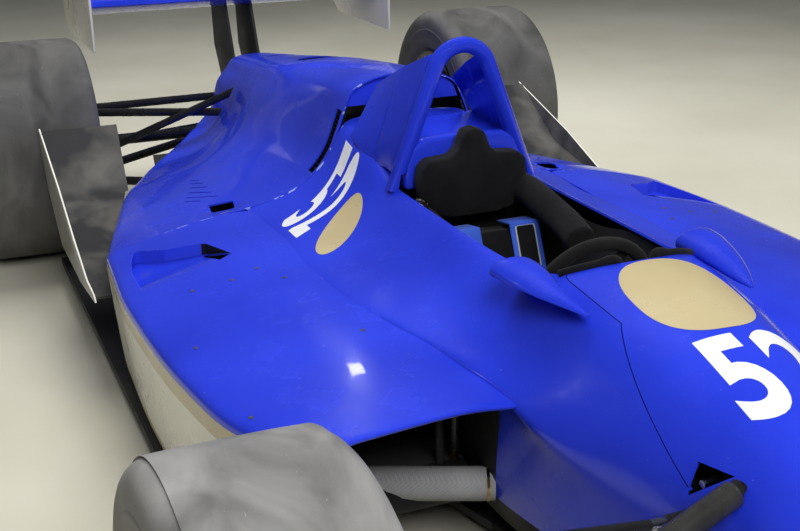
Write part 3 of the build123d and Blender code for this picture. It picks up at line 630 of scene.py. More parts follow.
def cut(piece, *cutters):
    """Cuts these blocks out of a piece, and removes them."""
    for cutter in cutters:
        modify(piece, "BOOLEAN", object=cutter, operation="DIFFERENCE", solver="EXACT")
        bpy.data.objects.remove(cutter)


def ribbon(path, half_width):
    """The outline of a narrow band along a path of (x, y)."""
    edges = ([], [])
    for index, (x, y) in enumerate(path):
        before, after = path[max(index - 1, 0)], path[min(index + 1, len(path) - 1)]
        run = Vector((after[0] - before[0], after[1] - before[1])).normalized()
        for edge, reach in zip(edges, (half_width, -half_width)):
            edge.append((x - run.y * reach, y + run.x * reach))
    return edges[0] + edges[1][::-1]


def spaced(path, step):
    """The path with more points, no further apart than step."""
    points = []
    for start, end in zip(path, path[1:]):
        start, end = Vector(start), Vector(end)
        parts = max(1, math.ceil((end - start).length / step))
        points += [tuple(start.lerp(end, part / parts)) for part in range(parts)]
    return points + [tuple(path[-1])]


def contains(outline, x, y):
    """True where the outline of (x, y) goes round the point."""
    inside = False
    for (x0, y0), (x1, y1) in zip(outline, outline[1:] + outline[:1]):
        if (y0 > y) != (y1 > y) and x < x0 + (y - y0) / (y1 - y0) * (x1 - x0):
            inside = not inside
    return inside


def surface_of(piece):
    return BVHTree.FromPolygons([vertex.co for vertex in piece.data.vertices],
                                [tuple(face.vertices) for face in piece.data.polygons])


def height_at(surface, x, y):
    """The height of a surface under the sky at x and y, in millimetres, or None beside it."""
    found = surface.ray_cast(Vector((x / 1000, y / 1000, 2)), Vector((0, 0, -1)))[0]
    return found.z * 1000 if found else None


def ease(share):
    """From 0 to 1 with a soft start and end."""
    share = min(max(share, 0), 1)
    return share * share * (3 - 2 * share)


# %% [markdown]
# ## Monocoque, scuttle and nose
# One skin runs from the seam behind the driver to the nose's tip. It could be carved from a
# block, but its creases run along the whole car, so a grid is laid on measured stations: its
# columns go from the crown in the middle, over the rim and down the hollow flank to the pod,
# and under the floor. Only the left half is laid, and mirrored.

# %% Monocoque stations
# x, crown, half way, edge of the opening, rim, flank x3, foot, under the foot, side, low, bottom
TUB = [
    (-250, (0, 642), (80, 641), (160, 638), (183, 603), (207, 545), (263, 487), (345, 453), (428, 438),
     (427, 424), (290, 398), (286, 140), (206, 47)),
    (-60, (0, 596), (80, 595), (158, 592), (180, 571), (210, 522), (265, 479), (345, 452), (408, 439),
     (407, 425), (290, 398), (286, 140), (206, 47)),
    (60, (0, 549), (80, 549), (161, 548), (180, 540), (212, 508), (265, 474), (345, 450), (416, 439),
     (415, 425), (290, 398), (286, 140), (206, 47)),
    (200, (0, 547), (80, 547), (162, 547), (179, 540), (214, 508), (268, 475), (345, 449), (426, 439),
     (425, 425), (290, 398), (286, 140), (206, 47)),
    (400, (0, 547), (80, 547), (162, 547), (179, 540), (214, 508), (264, 475), (335, 449), (415, 438),
     (414, 424), (290, 398), (286, 140), (206, 47)),
    (560, (0, 548), (80, 548), (160, 548), (179, 540), (212, 508), (256, 475), (316, 449), (377, 437),
     (376, 423), (288, 396), (286, 140), (206, 47)),
    (700, (0, 560), (78, 558), (152, 552), (182, 534), (212, 504), (250, 472), (298, 444), (340, 432),
     (339, 418), (286, 394), (285, 141), (206, 47)),
    (790, (0, 594), (72, 590), (139, 574), (183, 530), (210, 497), (246, 464), (284, 438), (318, 424),
     (317, 410), (284, 390), (284, 142), (205, 48)),
    (860, (0, 589), (72, 584), (138, 566), (184, 521), (208, 490), (238, 460), (270, 432), (299, 416),
     (300, 402), (278, 384), (274, 142), (200, 50)),
    (960, (0, 572), (68, 567), (128, 550), (180, 506), (206, 474), (232, 444), (258, 414), (277, 388),
     (281, 368), (264, 340), (252, 143), (191, 54)),
    (1090, (0, 544), (60, 540), (112, 524), (158, 484), (183, 454), (206, 424), (222, 392), (230, 360),
     (232, 330), (226, 280), (218, 145), (178, 61)),
    (1260, (0, 492), (48, 489), (94, 475), (136, 438), (156, 412), (170, 386), (179, 356), (183, 322),
     (183, 290), (182, 240), (176, 150), (150, 73)),
    (1480, (0, 432), (40, 429), (76, 418), (112, 388), (126, 366), (136, 340), (141, 314), (142, 284),
     (142, 256), (140, 220), (136, 150), (112, 92)),
    (1760, (0, 352), (34, 350), (64, 341), (93, 318), (104, 300), (112, 280), (117, 258), (119, 234),
     (119, 214), (118, 190), (114, 140), (88, 101)),
    (2060, (0, 250), (26, 248), (48, 242), (68, 226), (78, 214), (84, 202), (88, 190), (89, 178),
     (89, 168), (88, 156), (84, 128), (62, 108)),
    (2290, (0, 170), (12, 169), (24, 166), (34, 160), (40, 156), (44, 152), (46, 148), (47, 144),
     (47, 141), (46, 138), (43, 130), (30, 121)),
]
OPENING_EDGE = 2
OPENING_FRONT, OPENING_CROWN, OPENING_FRONT_HALF, OPENING_BEND = 775, 815, 138, 160
NOSE_SEAM = 1480
TUB_ROWS = [-250, -170, -60, 0, 22, 60, 130, 200, 300, 400, 480, 560, 640, 700, 752, 784, 812, 850, 900,
            960, 1025, 1090, 1170, 1260, 1370, 1474, 1486, 1600, 1760, 1900, 2060, 2190, 2262, 2290]
BLUE_PANEL, SCUTTLE_PANEL, NOSE_PANEL = 0, 1, 2
SEAM_TURN, SEAM_HEIGHT, SEAM_SLOPE, SEAM_END = 0.96, 0.546, 0.555, 1.228
SCUTTLE_REAR, SCUTTLE_FRONT = 784, 960
FRONT_ROW, REAR_ROW = TUB_ROWS.index(SCUTTLE_REAR), TUB_ROWS.index(22)
ROD_POCKET = [(1226, 429), (1288, 430), (1236, 380)]


def tub_row(x):
    """Rows near the opening's front bend forwards in the middle, as its edge does."""
    row = []
    for y, z in stations_at(TUB, x):
        inside = max(0, 1 - (y / OPENING_FRONT_HALF) ** 2)
        nearness = max(0, 1 - (x - OPENING_FRONT) / OPENING_BEND) if x >= OPENING_FRONT else 0
        row.append((x + (OPENING_CROWN - OPENING_FRONT) * inside * nearness, y, z))
    return row + [(x, 0, row[-1][2])]


def tub_panel(row, column):
    x = TUB_ROWS[row]
    if x >= NOSE_SEAM:
        return NOSE_PANEL
    return SCUTTLE_PANEL if SCUTTLE_REAR <= x < SCUTTLE_FRONT and column < 2 else BLUE_PANEL


def seam_height(point):
    """Height over the inclined plane in which the scuttle's side seam lies."""
    return point.z - SEAM_HEIGHT + SEAM_SLOPE * (point.x - SEAM_TURN)


def on_scuttle_seam(edge):
    return (SEAM_TURN - 0.004 < place_of(edge).x < SEAM_END
            and all(abs(seam_height(vertex.co)) < 0.0003 for vertex in edge.verts))


def near_seam(point, behind):
    """True on the upper skin round the seam, from a distance behind its turn."""
    return SEAM_TURN - behind < point.x < SEAM_END + 0.03 and point.z > 0.3


def along_scuttle_side(edge):
    """The panels' meeting line, but not across the car."""
    run = edge.verts[0].co - edge.verts[1].co
    return abs(run.x) > abs(run.y) and meeting({BLUE_PANEL, SCUTTLE_PANEL})(edge)


# %% Monocoque skin
tub_skin = grid("tub_skin", [tub_row(x) for x in TUB_ROWS], tub_panel)
columns = len(tub_row(0)) - 1
# three panels of one finish, so that a joint line can be found where two of them meet
for panel_paint in (blue_paint, blue_paint, blue_paint):
    tub_skin.data.materials.append(panel_paint)


def in_opening(face):
    row, column = divmod(face.index, columns)
    return REAR_ROW <= row < FRONT_ROW and column < OPENING_EDGE


edit(tub_skin, faces=in_opening)
bpy.ops.mesh.delete(type="FACE")
bpy.ops.object.mode_set(mode="OBJECT")
modify(tub_skin, "MIRROR", use_axis=(False, True, False), merge_threshold=0.0004)
edit(tub_skin, edges=lambda e: e.is_boundary and place_of(e).x > 2.28)
bpy.ops.mesh.edge_face_add()
bpy.ops.mesh.inset(thickness=0.012)
bpy.ops.mesh.poke()
bpy.ops.object.mode_set(mode="OBJECT")
modify(tub_skin, "SUBSURF", levels=LEVELS, render_levels=LEVELS)
face_out(tub_skin, 0.3)
for vertex in tub_skin.data.vertices:
    height = seam_height(vertex.co)
    if abs(height) < 0.006 and near_seam(vertex.co, 0.03):
        steepest = Vector((SEAM_SLOPE, 0, 1))
        slide = steepest - vertex.normal * steepest.dot(vertex.normal)
        vertex.co -= slide * (height / slide.dot(steepest))
edit(tub_skin, faces=lambda f: near_seam(place_of(f), 0.01))
bpy.ops.mesh.bisect(plane_co=(SEAM_TURN, 0, SEAM_HEIGHT), plane_no=(SEAM_SLOPE, 0, 1))
bpy.ops.object.mode_set(mode="OBJECT")
groove(tub_skin, on_scuttle_seam)
groove(tub_skin, along_scuttle_side)
groove(tub_skin, meeting({BLUE_PANEL, NOSE_PANEL}))


MOUTH_PLACE, MOUTH_NORMAL = Vector((0.842, 0, 0.361)), Vector((0.979, 0, -0.2036))
BELLY_HEIGHT, BARE_FRONT = 0.166, 1.15


def duct_side(centre):
    """Behind the pods' mouths and under the belly the side is bare composite, darkened as painted shade."""
    behind = (centre - MOUTH_PLACE).dot(MOUTH_NORMAL) < 0 and centre.z < 0.4
    return abs(centre.y) > 0.19 and centre.x < BARE_FRONT and (behind or centre.z < BELLY_HEIGHT)


for cut_place, cut_normal in ((MOUTH_PLACE, MOUTH_NORMAL), ((1, 0, BELLY_HEIGHT), (0, 0, 1))):
    edit(tub_skin, faces=lambda f: 0.6 < place_of(f).x < BARE_FRONT and place_of(f).z < 0.41)
    bpy.ops.mesh.bisect(plane_co=cut_place, plane_no=cut_normal)
    bpy.ops.object.mode_set(mode="OBJECT")
tint(tub_skin, painted_shade_laminate, duct_side)
shell(tub_skin, 0.005)
for side in (1, -1):
    cut(tub_skin, block(ROD_POCKET, side * 100, side * 210, "Y"))
modify(tub_skin, "TRIANGULATE", min_vertices=5)
smooth(tub_skin, 40)
tub_surface = surface_of(tub_skin)
dress(tub_skin, "tub_skin", "chassis", "blue_body")
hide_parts("tub", "scuttle", "nose_cone")
print("monocoque skin:", triangles(tub_skin), "triangles")

# %% [markdown]
# ## Side pods
# A pod is a wide, nearly flat shelf with a crisp outer edge and an upright wall that stands
# behind the front wheel. The wall is cream, with a gold stripe under the blue top's edge.
# A bevelled box would lose the shelf's slow sweep, so stations are used again, with three
# columns close together at the edge, and each colour is a band of columns.

# %% Pod stations
# x, foot, three points over the top, rounded edge x3, wall under the stripe, wall, lower edge x2
POD = [
    (-250, (428, 438), (520, 431), (620, 409), (715, 386), (754, 374), (767, 366), (771, 352), (770, 330),
     (760, 210), (746, 74), (742, 62), (722, 62)),
    (44, (414, 439), (520, 433), (630, 412), (735, 389), (774, 376), (787, 367), (791, 352), (789, 330),
     (776, 210), (759, 74), (755, 62), (735, 62)),
    (400, (415, 438), (510, 432), (620, 412), (725, 390), (764, 378), (777, 370), (782, 355), (780, 332),
     (769, 210), (754, 74), (751, 62), (731, 62)),
    (715, (336, 432), (440, 429), (560, 412), (680, 394), (727, 383), (740, 375), (744, 360), (742, 338),
     (730, 210), (714, 74), (711, 62), (691, 62)),
    (850, (302, 418), (400, 422), (500, 413), (620, 400), (672, 393), (685, 386), (689, 372), (687, 350),
     (672, 214), (652, 74), (649, 62), (629, 62)),
    (915, (286, 404), (365, 418), (450, 413), (540, 406), (588, 402), (601, 396), (605, 384), (603, 364),
     (588, 216), (562, 74), (559, 62), (539, 62)),
]
POD_ROWS = [0, 0.02, 0.08, 0.16, 0.26, 0.38, 0.5, 0.62, 0.72, 0.82, 0.89, 0.94, 0.98, 1]
POD_REAR, POD_NOSE = -248, 915
SHELF_HEIGHT, SILL_HEIGHT = 392, 190
FOOT_TUCK, FOOT_DROP = 12, 1.5
STRIPE_COLUMN, LINE_COLUMN = 6, 9
BLUE_TOP, GOLD, WHITE = 0, 1, 2


def pod_front(z):
    """Where the pod ends: the wall's front edge is raked back below the shelf."""
    if z > SHELF_HEIGHT:
        return POD_NOSE
    if z > SILL_HEIGHT:
        return 760 + (z - SILL_HEIGHT) / (SHELF_HEIGHT - SILL_HEIGHT) * 150
    return 748


def pod_row(share):
    """One row over the pod. Where the front edge is raked, x and z are found together in turns."""
    row = []
    for column in range(len(POD[0]) - 1):
        z = POD[-1][column + 1][1]
        for turn in range(3):
            x = POD_REAR + (pod_front(z) - POD_REAR) * share
            y, z = stations_at(POD, x)[column]
        row.append((x, y, z))
    foot_x, foot_y, foot_z = row[0]
    row[0] = (foot_x, foot_y - FOOT_TUCK, foot_z - FOOT_DROP)
    return row


def pod_panel(row, column):
    if column < STRIPE_COLUMN:
        return BLUE_TOP
    return GOLD if column == STRIPE_COLUMN or column >= LINE_COLUMN else WHITE


# %% [markdown]
# Air from the radiator leaves through an outlet pressed into the pod's top. The skin is slit
# along the outlet's sides and rear, its floor is eased down towards the rear, and a painted
# wall closes the step. The slit ends in a hole at the inner corner. The floor could be a piece
# of its own, but pressed from the skin it meets the shelf in front without a joint.

# %% The outlet's shape
OUTLET_PATH = [(67, 745), (20, 746), (-40, 745), (-88, 741), (-140, 731), (-184, 718), (-191, 711),
               (-186, 703), (-132, 653), (-92, 577), (-82, 568), (21, 537), (30, 538), (43, 572)]
OUTLET_HOLE = [(24, 540), (40, 568), (10, 578), (-40, 581), (-86, 577), (-82, 570), (-30, 555)]
OUTLET_DEPTH, OUTLET_RUN, OUTLET_SLIT = 27, 150, 0.5
OUTLET_SLANT, OUTLET_SPAN = 24, 174


def outlet_depth(x, y):
    """How far the floor is pressed down, from nothing along the outlet's slanted front line."""
    corner_x, corner_y = OUTLET_PATH[-1]
    front = corner_x + (y - corner_y) / OUTLET_SPAN * OUTLET_SLANT
    return OUTLET_DEPTH * ease((front - x) / OUTLET_RUN)


def press_outlet(skin):
    """Slits the skin and presses the floor down. Returns the wall's rows."""
    edit(skin, faces=lambda f: -0.24 < place_of(f).x < 0.12 and 0.5 < place_of(f).y < 0.77
         and place_of(f).z > 0.3)
    bpy.ops.mesh.subdivide(number_cuts=1)
    bpy.ops.object.mode_set(mode="OBJECT")
    surface = surface_of(skin)
    path = spaced(OUTLET_PATH, 7)
    tops = [(x, y, height_at(surface, x, y) - 0.4) for x, y in path]
    bottoms = [(x, y, z - outlet_depth(x, y) - 1.5) for x, y, z in tops]
    cut(skin, block(ribbon(path, OUTLET_SLIT), 330, 470), block(OUTLET_HOLE, 330, 470))
    for vertex in skin.data.vertices:
        x, y = vertex.co.x * 1000, vertex.co.y * 1000
        if vertex.co.z > 0.3 and contains(OUTLET_PATH, x, y):
            vertex.co.z -= outlet_depth(x, y) / 1000
    modify(skin, "TRIANGULATE", min_vertices=5)
    middles = [tuple((Vector(top) + Vector(bottom)) / 2) for top, bottom in zip(tops, bottoms)]
    return [tops, middles, bottoms]


# %% Pod skins
pod_skins = []
for side_name, side in SIDES:
    pod_skin = grid("pod_skin_" + side_name, [pod_row(share) for share in POD_ROWS], pod_panel)
    for material in (blue_paint, gold_paint, white_paint):
        pod_skin.data.materials.append(material)
    edit(pod_skin, edges=lambda e: e.is_boundary and place_of(e).x > 0.7)
    bpy.ops.mesh.extrude_edges_move(TRANSFORM_OT_translate={"value": (-0.004, 0, -0.012)})
    bpy.ops.mesh.extrude_edges_move(TRANSFORM_OT_translate={"value": (-0.03, 0, -0.002)})
    bpy.ops.object.mode_set(mode="OBJECT")
    modify(pod_skin, "SUBSURF", levels=LEVELS, render_levels=LEVELS)
    face_out(pod_skin, 0.25)
    shell(pod_skin, 0.004)
    outlet_wall = grid("outlet_wall", press_outlet(pod_skin))
    modify(outlet_wall, "SOLIDIFY", thickness=0.0012, offset=0)
    # the wall's blue is lighter than the skin's, as a painted reflection; its faces near the hole get the
    # very dark composite, as painted shade
    outlet_wall.data.materials.append(outlet_reflection_paint)
    outlet_wall.data.materials.append(painted_shade_laminate)
    for face in outlet_wall.data.polygons:
        face.material_index = int(face.center.x < 0.03 and face.center.y < 0.58)
    for piece in (pod_skin, outlet_wall):
        if side < 0:
            other_side(piece)
        smooth(piece, 40)
    dress(pod_skin, "pod_skin_" + side_name, "chassis", "blue_body")
    dress(outlet_wall, "outlet_wall_" + side_name, "chassis", "blue_body")
    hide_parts("sidepod_" + side_name)
    pod_skins.append(pod_skin)
print("pod skin:", triangles(pod_skins[0]), "triangles")

# %% [markdown]
# ## Engine cover
# Behind the driver the cover rises to a flat ridge, rolls over a rounded shoulder into a deep
# hollow and flows out over the pods' tails. It could be several panels, but the highlights run
# through from ridge to tail, so it is one grid whose rows carry on from the monocoque's.

# %% Cover stations
# x, ridge, half way, ridge edge x3, side, shoulder, hollow x3, foot, deck x2, edge x3, lower
COVER = [
    (-250, (0, 742), (70, 736), (120, 720), (146, 700), (156, 676), (170, 640), (184, 602), (208, 545),
     (263, 487), (345, 453), (428, 438), (560, 420), (690, 392), (754, 374), (768, 365), (771, 346),
     (744, 62)),
    (-430, (0, 728), (70, 723), (122, 708), (148, 690), (158, 668), (174, 632), (188, 594), (214, 536),
     (266, 481), (340, 448), (418, 430), (530, 408), (650, 380), (712, 362), (727, 352), (729, 334),
     (706, 90)),
    (-600, (0, 710), (68, 705), (118, 692), (144, 674), (156, 652), (176, 616), (194, 578), (222, 524),
     (270, 474), (332, 440), (398, 418), (500, 398), (612, 368), (668, 350), (682, 340), (684, 322),
     (668, 120)),
    (-760, (0, 692), (66, 688), (114, 674), (140, 656), (154, 634), (178, 600), (198, 562), (226, 510),
     (270, 464), (334, 424), (398, 400), (482, 382), (578, 354), (628, 340), (642, 331), (644, 316),
     (628, 160)),
    (-900, (0, 672), (64, 668), (110, 656), (134, 638), (148, 616), (174, 584), (197, 548), (226, 500),
     (268, 454), (334, 410), (398, 382), (470, 366), (545, 344), (588, 333), (602, 325), (604, 312),
     (588, 205)),
    (-1050, (0, 651), (61, 647), (104, 635), (128, 616), (142, 594), (166, 562), (188, 524), (212, 478),
     (250, 436), (308, 392), (366, 362), (426, 348), (486, 330), (524, 321), (538, 314), (541, 304),
     (526, 240)),
    (-1200, (0, 628), (56, 624), (94, 612), (116, 594), (130, 572), (152, 540), (170, 502), (190, 460),
     (222, 420), (268, 376), (312, 350), (362, 336), (418, 321), (458, 313), (474, 307), (478, 299),
     (462, 275)),
    (-1400, (0, 600), (50, 597), (84, 587), (103, 570), (114, 549), (136, 522), (152, 490), (164, 455),
     (186, 420), (214, 385), (240, 362), (264, 350), (292, 342), (316, 336), (326, 332), (328, 328),
     (312, 322)),
    (-1600, (0, 571), (44, 569), (76, 562), (93, 550), (103, 530), (120, 512), (140, 490), (148, 462),
     (154, 442), (159, 424), (163, 408), (166, 400), (168, 394), (170, 389), (171, 386), (170, 380),
     (160, 373)),
]
COVER_ROWS = [-252, -262, -300, -360, -430, -520, -600, -680, -760, -830, -900, -975, -1050, -1125, -1200,
              -1300, -1400, -1490, -1560, -1592, -1600]

# %% [markdown]
# The rear deck has a slot and six louvres on each side, and the ridge has a round hole for the
# pressure valve and a slot at the tail. Painted shapes would look flat from the side, so each
# opening is cut through the skin, and a pan or a ribbed back, dark as painted shade, closes the view.

# %% Openings of the cover
DECK_SLOT = [(-373, 489), (-376, 485), (-355, 433), (-350, 430), (-313, 436), (-310, 440), (-323, 488),
             (-327, 492)]
SLOT_PAN = [(-520, 330), (-520, 500), (-290, 520), (-290, 330)]
LOUVRES = [
    # outer end's x and y, inner end's
    (-492, 523, -446, 490), (-527, 510, -437, 446), (-575, 493, -498, 447),
    (-625, 476, -570, 442), (-675, 464, -632, 438), (-714, 455, -686, 436),
]
FLAP_FRONT, FLAP_REAR, FLAP_INNER, FLAP_OUTER, FLAP_DIP = -254, -345, 415, 510, 0.008
VENT_LINE = [(166, 655), (174, 630), (184, 602), (196, 570), (210, 541), (228, 522), (246, 504)]
VENT_REAR, VENT_FRONT = -298, -262
BULKHEAD_REAR, BULKHEAD_FRONT = -266, -262
BULKHEAD_HALF = [(0, 735), (66, 730), (114, 714), (138, 695), (146, 674), (150, 664)]
VALVE_X, VALVE_RADIUS = -895, 67
TAIL_SLOT_X, TAIL_SLOT_HALF, TAIL_SLOT_END = -1290, 28, 17


def ring(x, y, radius, count=40, start=0.0, end=math.tau):
    """Points of a circle in the plane of x and y."""
    return [(x + radius * math.cos(start + (end - start) * step / count),
             y + radius * math.sin(start + (end - start) * step / count)) for step in range(count)]


def press_flap(skin):
    """Dips the deck in front of each slot."""
    for vertex in skin.data.vertices:
        x, y = vertex.co.x * 1000, abs(vertex.co.y) * 1000
        if FLAP_REAR < x < FLAP_FRONT and FLAP_INNER < y < FLAP_OUTER and vertex.co.z > 0.38:
            from_edge = min(y - FLAP_INNER, FLAP_OUTER - y) / 25
            vertex.co.z -= FLAP_DIP * ease((FLAP_FRONT - x) / 62) * ease(from_edge)


# %% Cover skin
cover_skin = grid("cover_skin", [[(x, y, z) for y, z in stations_at(COVER, x)] for x in COVER_ROWS])
cover_skin.data.materials.append(blue_paint)
modify(cover_skin, "MIRROR", use_axis=(False, True, False), merge_threshold=0.0004)
modify(cover_skin, "SUBSURF", levels=LEVELS, render_levels=LEVELS)
face_out(cover_skin, 0.3)
edit(cover_skin, faces=lambda f: -0.74 < place_of(f).x < -0.24 and 0.4 < abs(place_of(f).y) < 0.54)
bpy.ops.mesh.subdivide(number_cuts=1)
bpy.ops.object.mode_set(mode="OBJECT")
press_flap(cover_skin)
shell(cover_skin, 0.004)
for side in (1, -1):
    cut(cover_skin, block([(x, side * y) for x, y in DECK_SLOT], 340, 480))
    for x0, y0, x1, y1 in LOUVRES:
        cut(cover_skin, block(ribbon([(x0, side * y0), (x1, side * y1)], 3), 340, 480))
tail_slot = (ring(TAIL_SLOT_X, TAIL_SLOT_HALF, TAIL_SLOT_END, 12, 0, math.pi)
             + ring(TAIL_SLOT_X, -TAIL_SLOT_HALF, TAIL_SLOT_END, 12, math.pi, math.tau))
cut(cover_skin, block(ring(VALVE_X, 0, VALVE_RADIUS), 560, 800), block(tail_slot, 540, 800))
for side in (1, -1):
    vent = ribbon([(side * y, z) for y, z in VENT_LINE], 9)
    cut(cover_skin, block(vent, VENT_REAR, VENT_FRONT, "X"))
modify(cover_skin, "TRIANGULATE", min_vertices=5)
smooth(cover_skin, 40)
for side_name, side in SIDES:
    # the pan under the slot is very dark composite, as painted shade
    slot_pan = block([(x, side * y) for x, y in SLOT_PAN], 386, 389)
    smooth(slot_pan)
    dress(slot_pan, "slot_pan_" + side_name, "chassis", "carbon", painted_shade_laminate)
    inner_line = [(side * (y - 11), z - 5) for y, z in VENT_LINE]
    # the ribbed back behind the vent is very dark composite, as painted shade
    vent_back = block(ribbon(inner_line, 1), VENT_REAR - 8, VENT_FRONT + 6, "X")
    for (y0, z0), (y1, z1) in zip(spaced(VENT_LINE, 14), spaced(inner_line, 14)):
        rib_line = [(side * (y0 - 2), z0 - 1), (y1, z1)]
        rib = block(ribbon(rib_line, 1.2), VENT_REAR - 1, VENT_FRONT + 1, "X")
        activate(vent_back)
        rib.select_set(True)
        bpy.ops.object.join()
    smooth(vent_back)
    dress(vent_back, "vent_ribs_" + side_name, "chassis", "carbon", painted_shade_laminate)
cover_bulkhead = block(both_halves(BULKHEAD_HALF), BULKHEAD_REAR, BULKHEAD_FRONT, "X")
smooth(cover_bulkhead)
dress(cover_bulkhead, "cover_bulkhead", "chassis", "blue_body", blue_paint)
dress(cover_skin, "cover_skin", "chassis", "blue_body")
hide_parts("engine_cover")
print("cover skin:", triangles(cover_skin), "triangles")

# %% [markdown]
# ## Cockpit liner
# Inside the opening the shell is bare black composite. It could be laid on stations like the
# outside, but a copy of the model's own hollow keeps its true size: only the faces that look
# into the driver's space are kept, and their top edge is held under the painted rim.

# %% Cockpit liner


def copy_of(node, name):
    """A copy of a node's mesh with its loose triangles joined."""
    deselect()
    mesh = nodes[node].data.copy()
    piece = bpy.data.objects.new(name, mesh)
    bpy.context.scene.collection.objects.link(piece)
    edit(piece, verts=everything)
    bpy.ops.mesh.remove_doubles(threshold=0.00005)
    bpy.ops.object.mode_set(mode="OBJECT")
    return piece


def outside_cockpit(face):
    """True for a face that doesn't look into the driver's space."""
    ahead = place_of(face) + face.normal * 0.02
    within = all(abs(vertex.co.y) < 0.1625 for vertex in face.verts)
    return not (within and 0.02 < ahead.x < 1.18 and abs(ahead.y) < 0.16 and 0.07 < ahead.z < 0.53)


cockpit_liner = copy_of("tub", "cockpit_liner")
edit(cockpit_liner, faces=outside_cockpit)
bpy.ops.mesh.delete(type="FACE")
bpy.ops.object.mode_set(mode="OBJECT")
RIM_SIDE, RIM_COVER = 172, 6
for vertex in cockpit_liner.data.vertices:
    if vertex.co.z > 0.46 and vertex.co.y != 0:
        rim = height_at(tub_surface, vertex.co.x * 1000, math.copysign(RIM_SIDE, vertex.co.y))
        if rim is not None:
            vertex.co.z = min(vertex.co.z, (rim - RIM_COVER) / 1000)
modify(cockpit_liner, "SOLIDIFY", thickness=0.0015, offset=-1)
smooth(cockpit_liner)
dress(cockpit_liner, "cockpit_liner", "chassis", "carbon", dark_laminate)
print("liner:", triangles(cockpit_liner), "triangles")

# %% [markdown]
# ## Mirrors
# Each mirror sits in a leaf of painted composite that grows out of the scuttle. From a point in
# front it widens and lifts towards the driver, with a sharp lower edge that stands clear of the
# flank, and its rear end holds the glass. A box on a stalk would show a joint that isn't there,
# so one grid is wrapped round the leaf's length and closed at both ends.

# %% Mirrors
# x, lower outer edge, outer side, crest outside, crest, inner side, inner foot, sole inside, sole
MIRROR = [
    (704, (238, 561), (240, 574), (220, 586), (190, 588), (161, 581), (150, 562), (165, 546), (205, 548)),
    (712, (244, 563), (245, 576), (222, 591), (190, 594), (157, 585), (145, 563), (162, 543), (208, 547)),
    (745, (241, 565), (239, 576), (217, 591), (188, 594), (158, 585), (144, 566), (160, 545), (206, 550)),
    (790, (231, 563), (226, 573), (208, 584), (186, 587), (163, 581), (148, 564), (160, 546), (200, 551)),
    (835, (216, 560), (211, 567), (198, 574), (184, 576), (168, 571), (152, 558), (162, 544), (192, 550)),
    (880, (195, 556), (192, 560), (185, 564), (178, 565), (168, 562), (156, 552), (163, 543), (180, 549)),
    (925, (170, 550), (169, 551), (167, 552), (165, 552), (163, 551), (161, 549), (163, 547), (167, 549)),
]
MIRROR_ROWS = [704, 706, 712, 728, 745, 768, 790, 812, 835, 858, 880, 904, 922, 925]
GLASS_X, TIP_X = MIRROR_ROWS[0] / 1000, MIRROR_ROWS[-1] / 1000
for side_name, side in SIDES:
    rows = [[(x, y, z) for y, z in stations_at(MIRROR, x)] for x in MIRROR_ROWS]
    mirror_leaf = grid("mirror_leaf", [row + row[:1] for row in rows])
    edit(mirror_leaf, verts=everything)
    bpy.ops.mesh.remove_doubles(threshold=0.00001)
    mesh = bmesh.from_edit_mesh(mirror_leaf.data)
    sharp = [Vector(row[0]) / 1000 for row in rows]
    bpy.ops.mesh.select_mode(type="EDGE")
    for edge in mesh.edges:
        edge.select_set(all(min((vertex.co - place).length for place in sharp) < 0.0002
                            for vertex in edge.verts))
    bpy.ops.transform.edge_crease(value=0.8)
    bpy.ops.object.mode_set(mode="OBJECT")
    for x_end in (GLASS_X, TIP_X):
        edit(mirror_leaf, edges=lambda e: e.is_boundary and abs(place_of(e).x - x_end) < 0.0005)
        bpy.ops.mesh.edge_face_add()
        if x_end == GLASS_X:
            bpy.ops.mesh.inset(thickness=0.0035)
            bpy.ops.mesh.extrude_region_move(TRANSFORM_OT_translate={"value": (0.009, 0, 0)})
            mesh = bmesh.from_edit_mesh(mirror_leaf.data)
            for face in mesh.faces:
                if face.select:
                    face.material_index = 1
            bmesh.update_edit_mesh(mirror_leaf.data)
        bpy.ops.mesh.inset(thickness=0.0004)
        bpy.ops.object.mode_set(mode="OBJECT")
    modify(mirror_leaf, "SUBSURF", levels=2, render_levels=2)
    edit(mirror_leaf, faces=everything)
    bpy.ops.mesh.normals_make_consistent(inside=False)
    bpy.ops.object.mode_set(mode="OBJECT")
    if side < 0:
        other_side(mirror_leaf)
    smooth(mirror_leaf, 50)
    dress(mirror_leaf, "mirror_leaf_" + side_name, "chassis", "blue_body", blue_paint, mirror_glass)
    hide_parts("mirror_" + side_name)
print("mirror:", triangles(mirror_leaf), "triangles")

# %% [markdown]
# ## Edge trim of the scuttle
# A soft black roll runs along the scuttle's rear edge, just behind the paint. It could be
# extruded along the skin's own edge, but a round bar along a smooth line through a few points
# is simpler, and rods, hoses and lips further on are made in the same way.

# %% Bars along smooth lines


def tube(name, points, radius, steps=8, shares=None):
    """A round bar through points, in millimetres, with a share of its radius at each."""
    deselect()
    bpy.ops.curve.primitive_bezier_curve_add()
    piece = bpy.context.object
    spline = piece.data.splines[0]
    spline.bezier_points.add(len(points) - 2)
    for knot, point, share in zip(spline.bezier_points, points, shares or [1] * len(points)):
        knot.co = Vector(point) / 1000
        knot.radius = share
        knot.handle_left_type = knot.handle_right_type = "AUTO"
    piece.data.bevel_depth = radius / 1000
    piece.data.bevel_resolution = 4
    piece.data.resolution_u = steps
    piece.data.use_fill_caps = True
    bpy.ops.object.convert(target="MESH")
    piece = bpy.context.object
    settle(piece)
    smooth(piece, 60)
    piece.name = name
    return piece


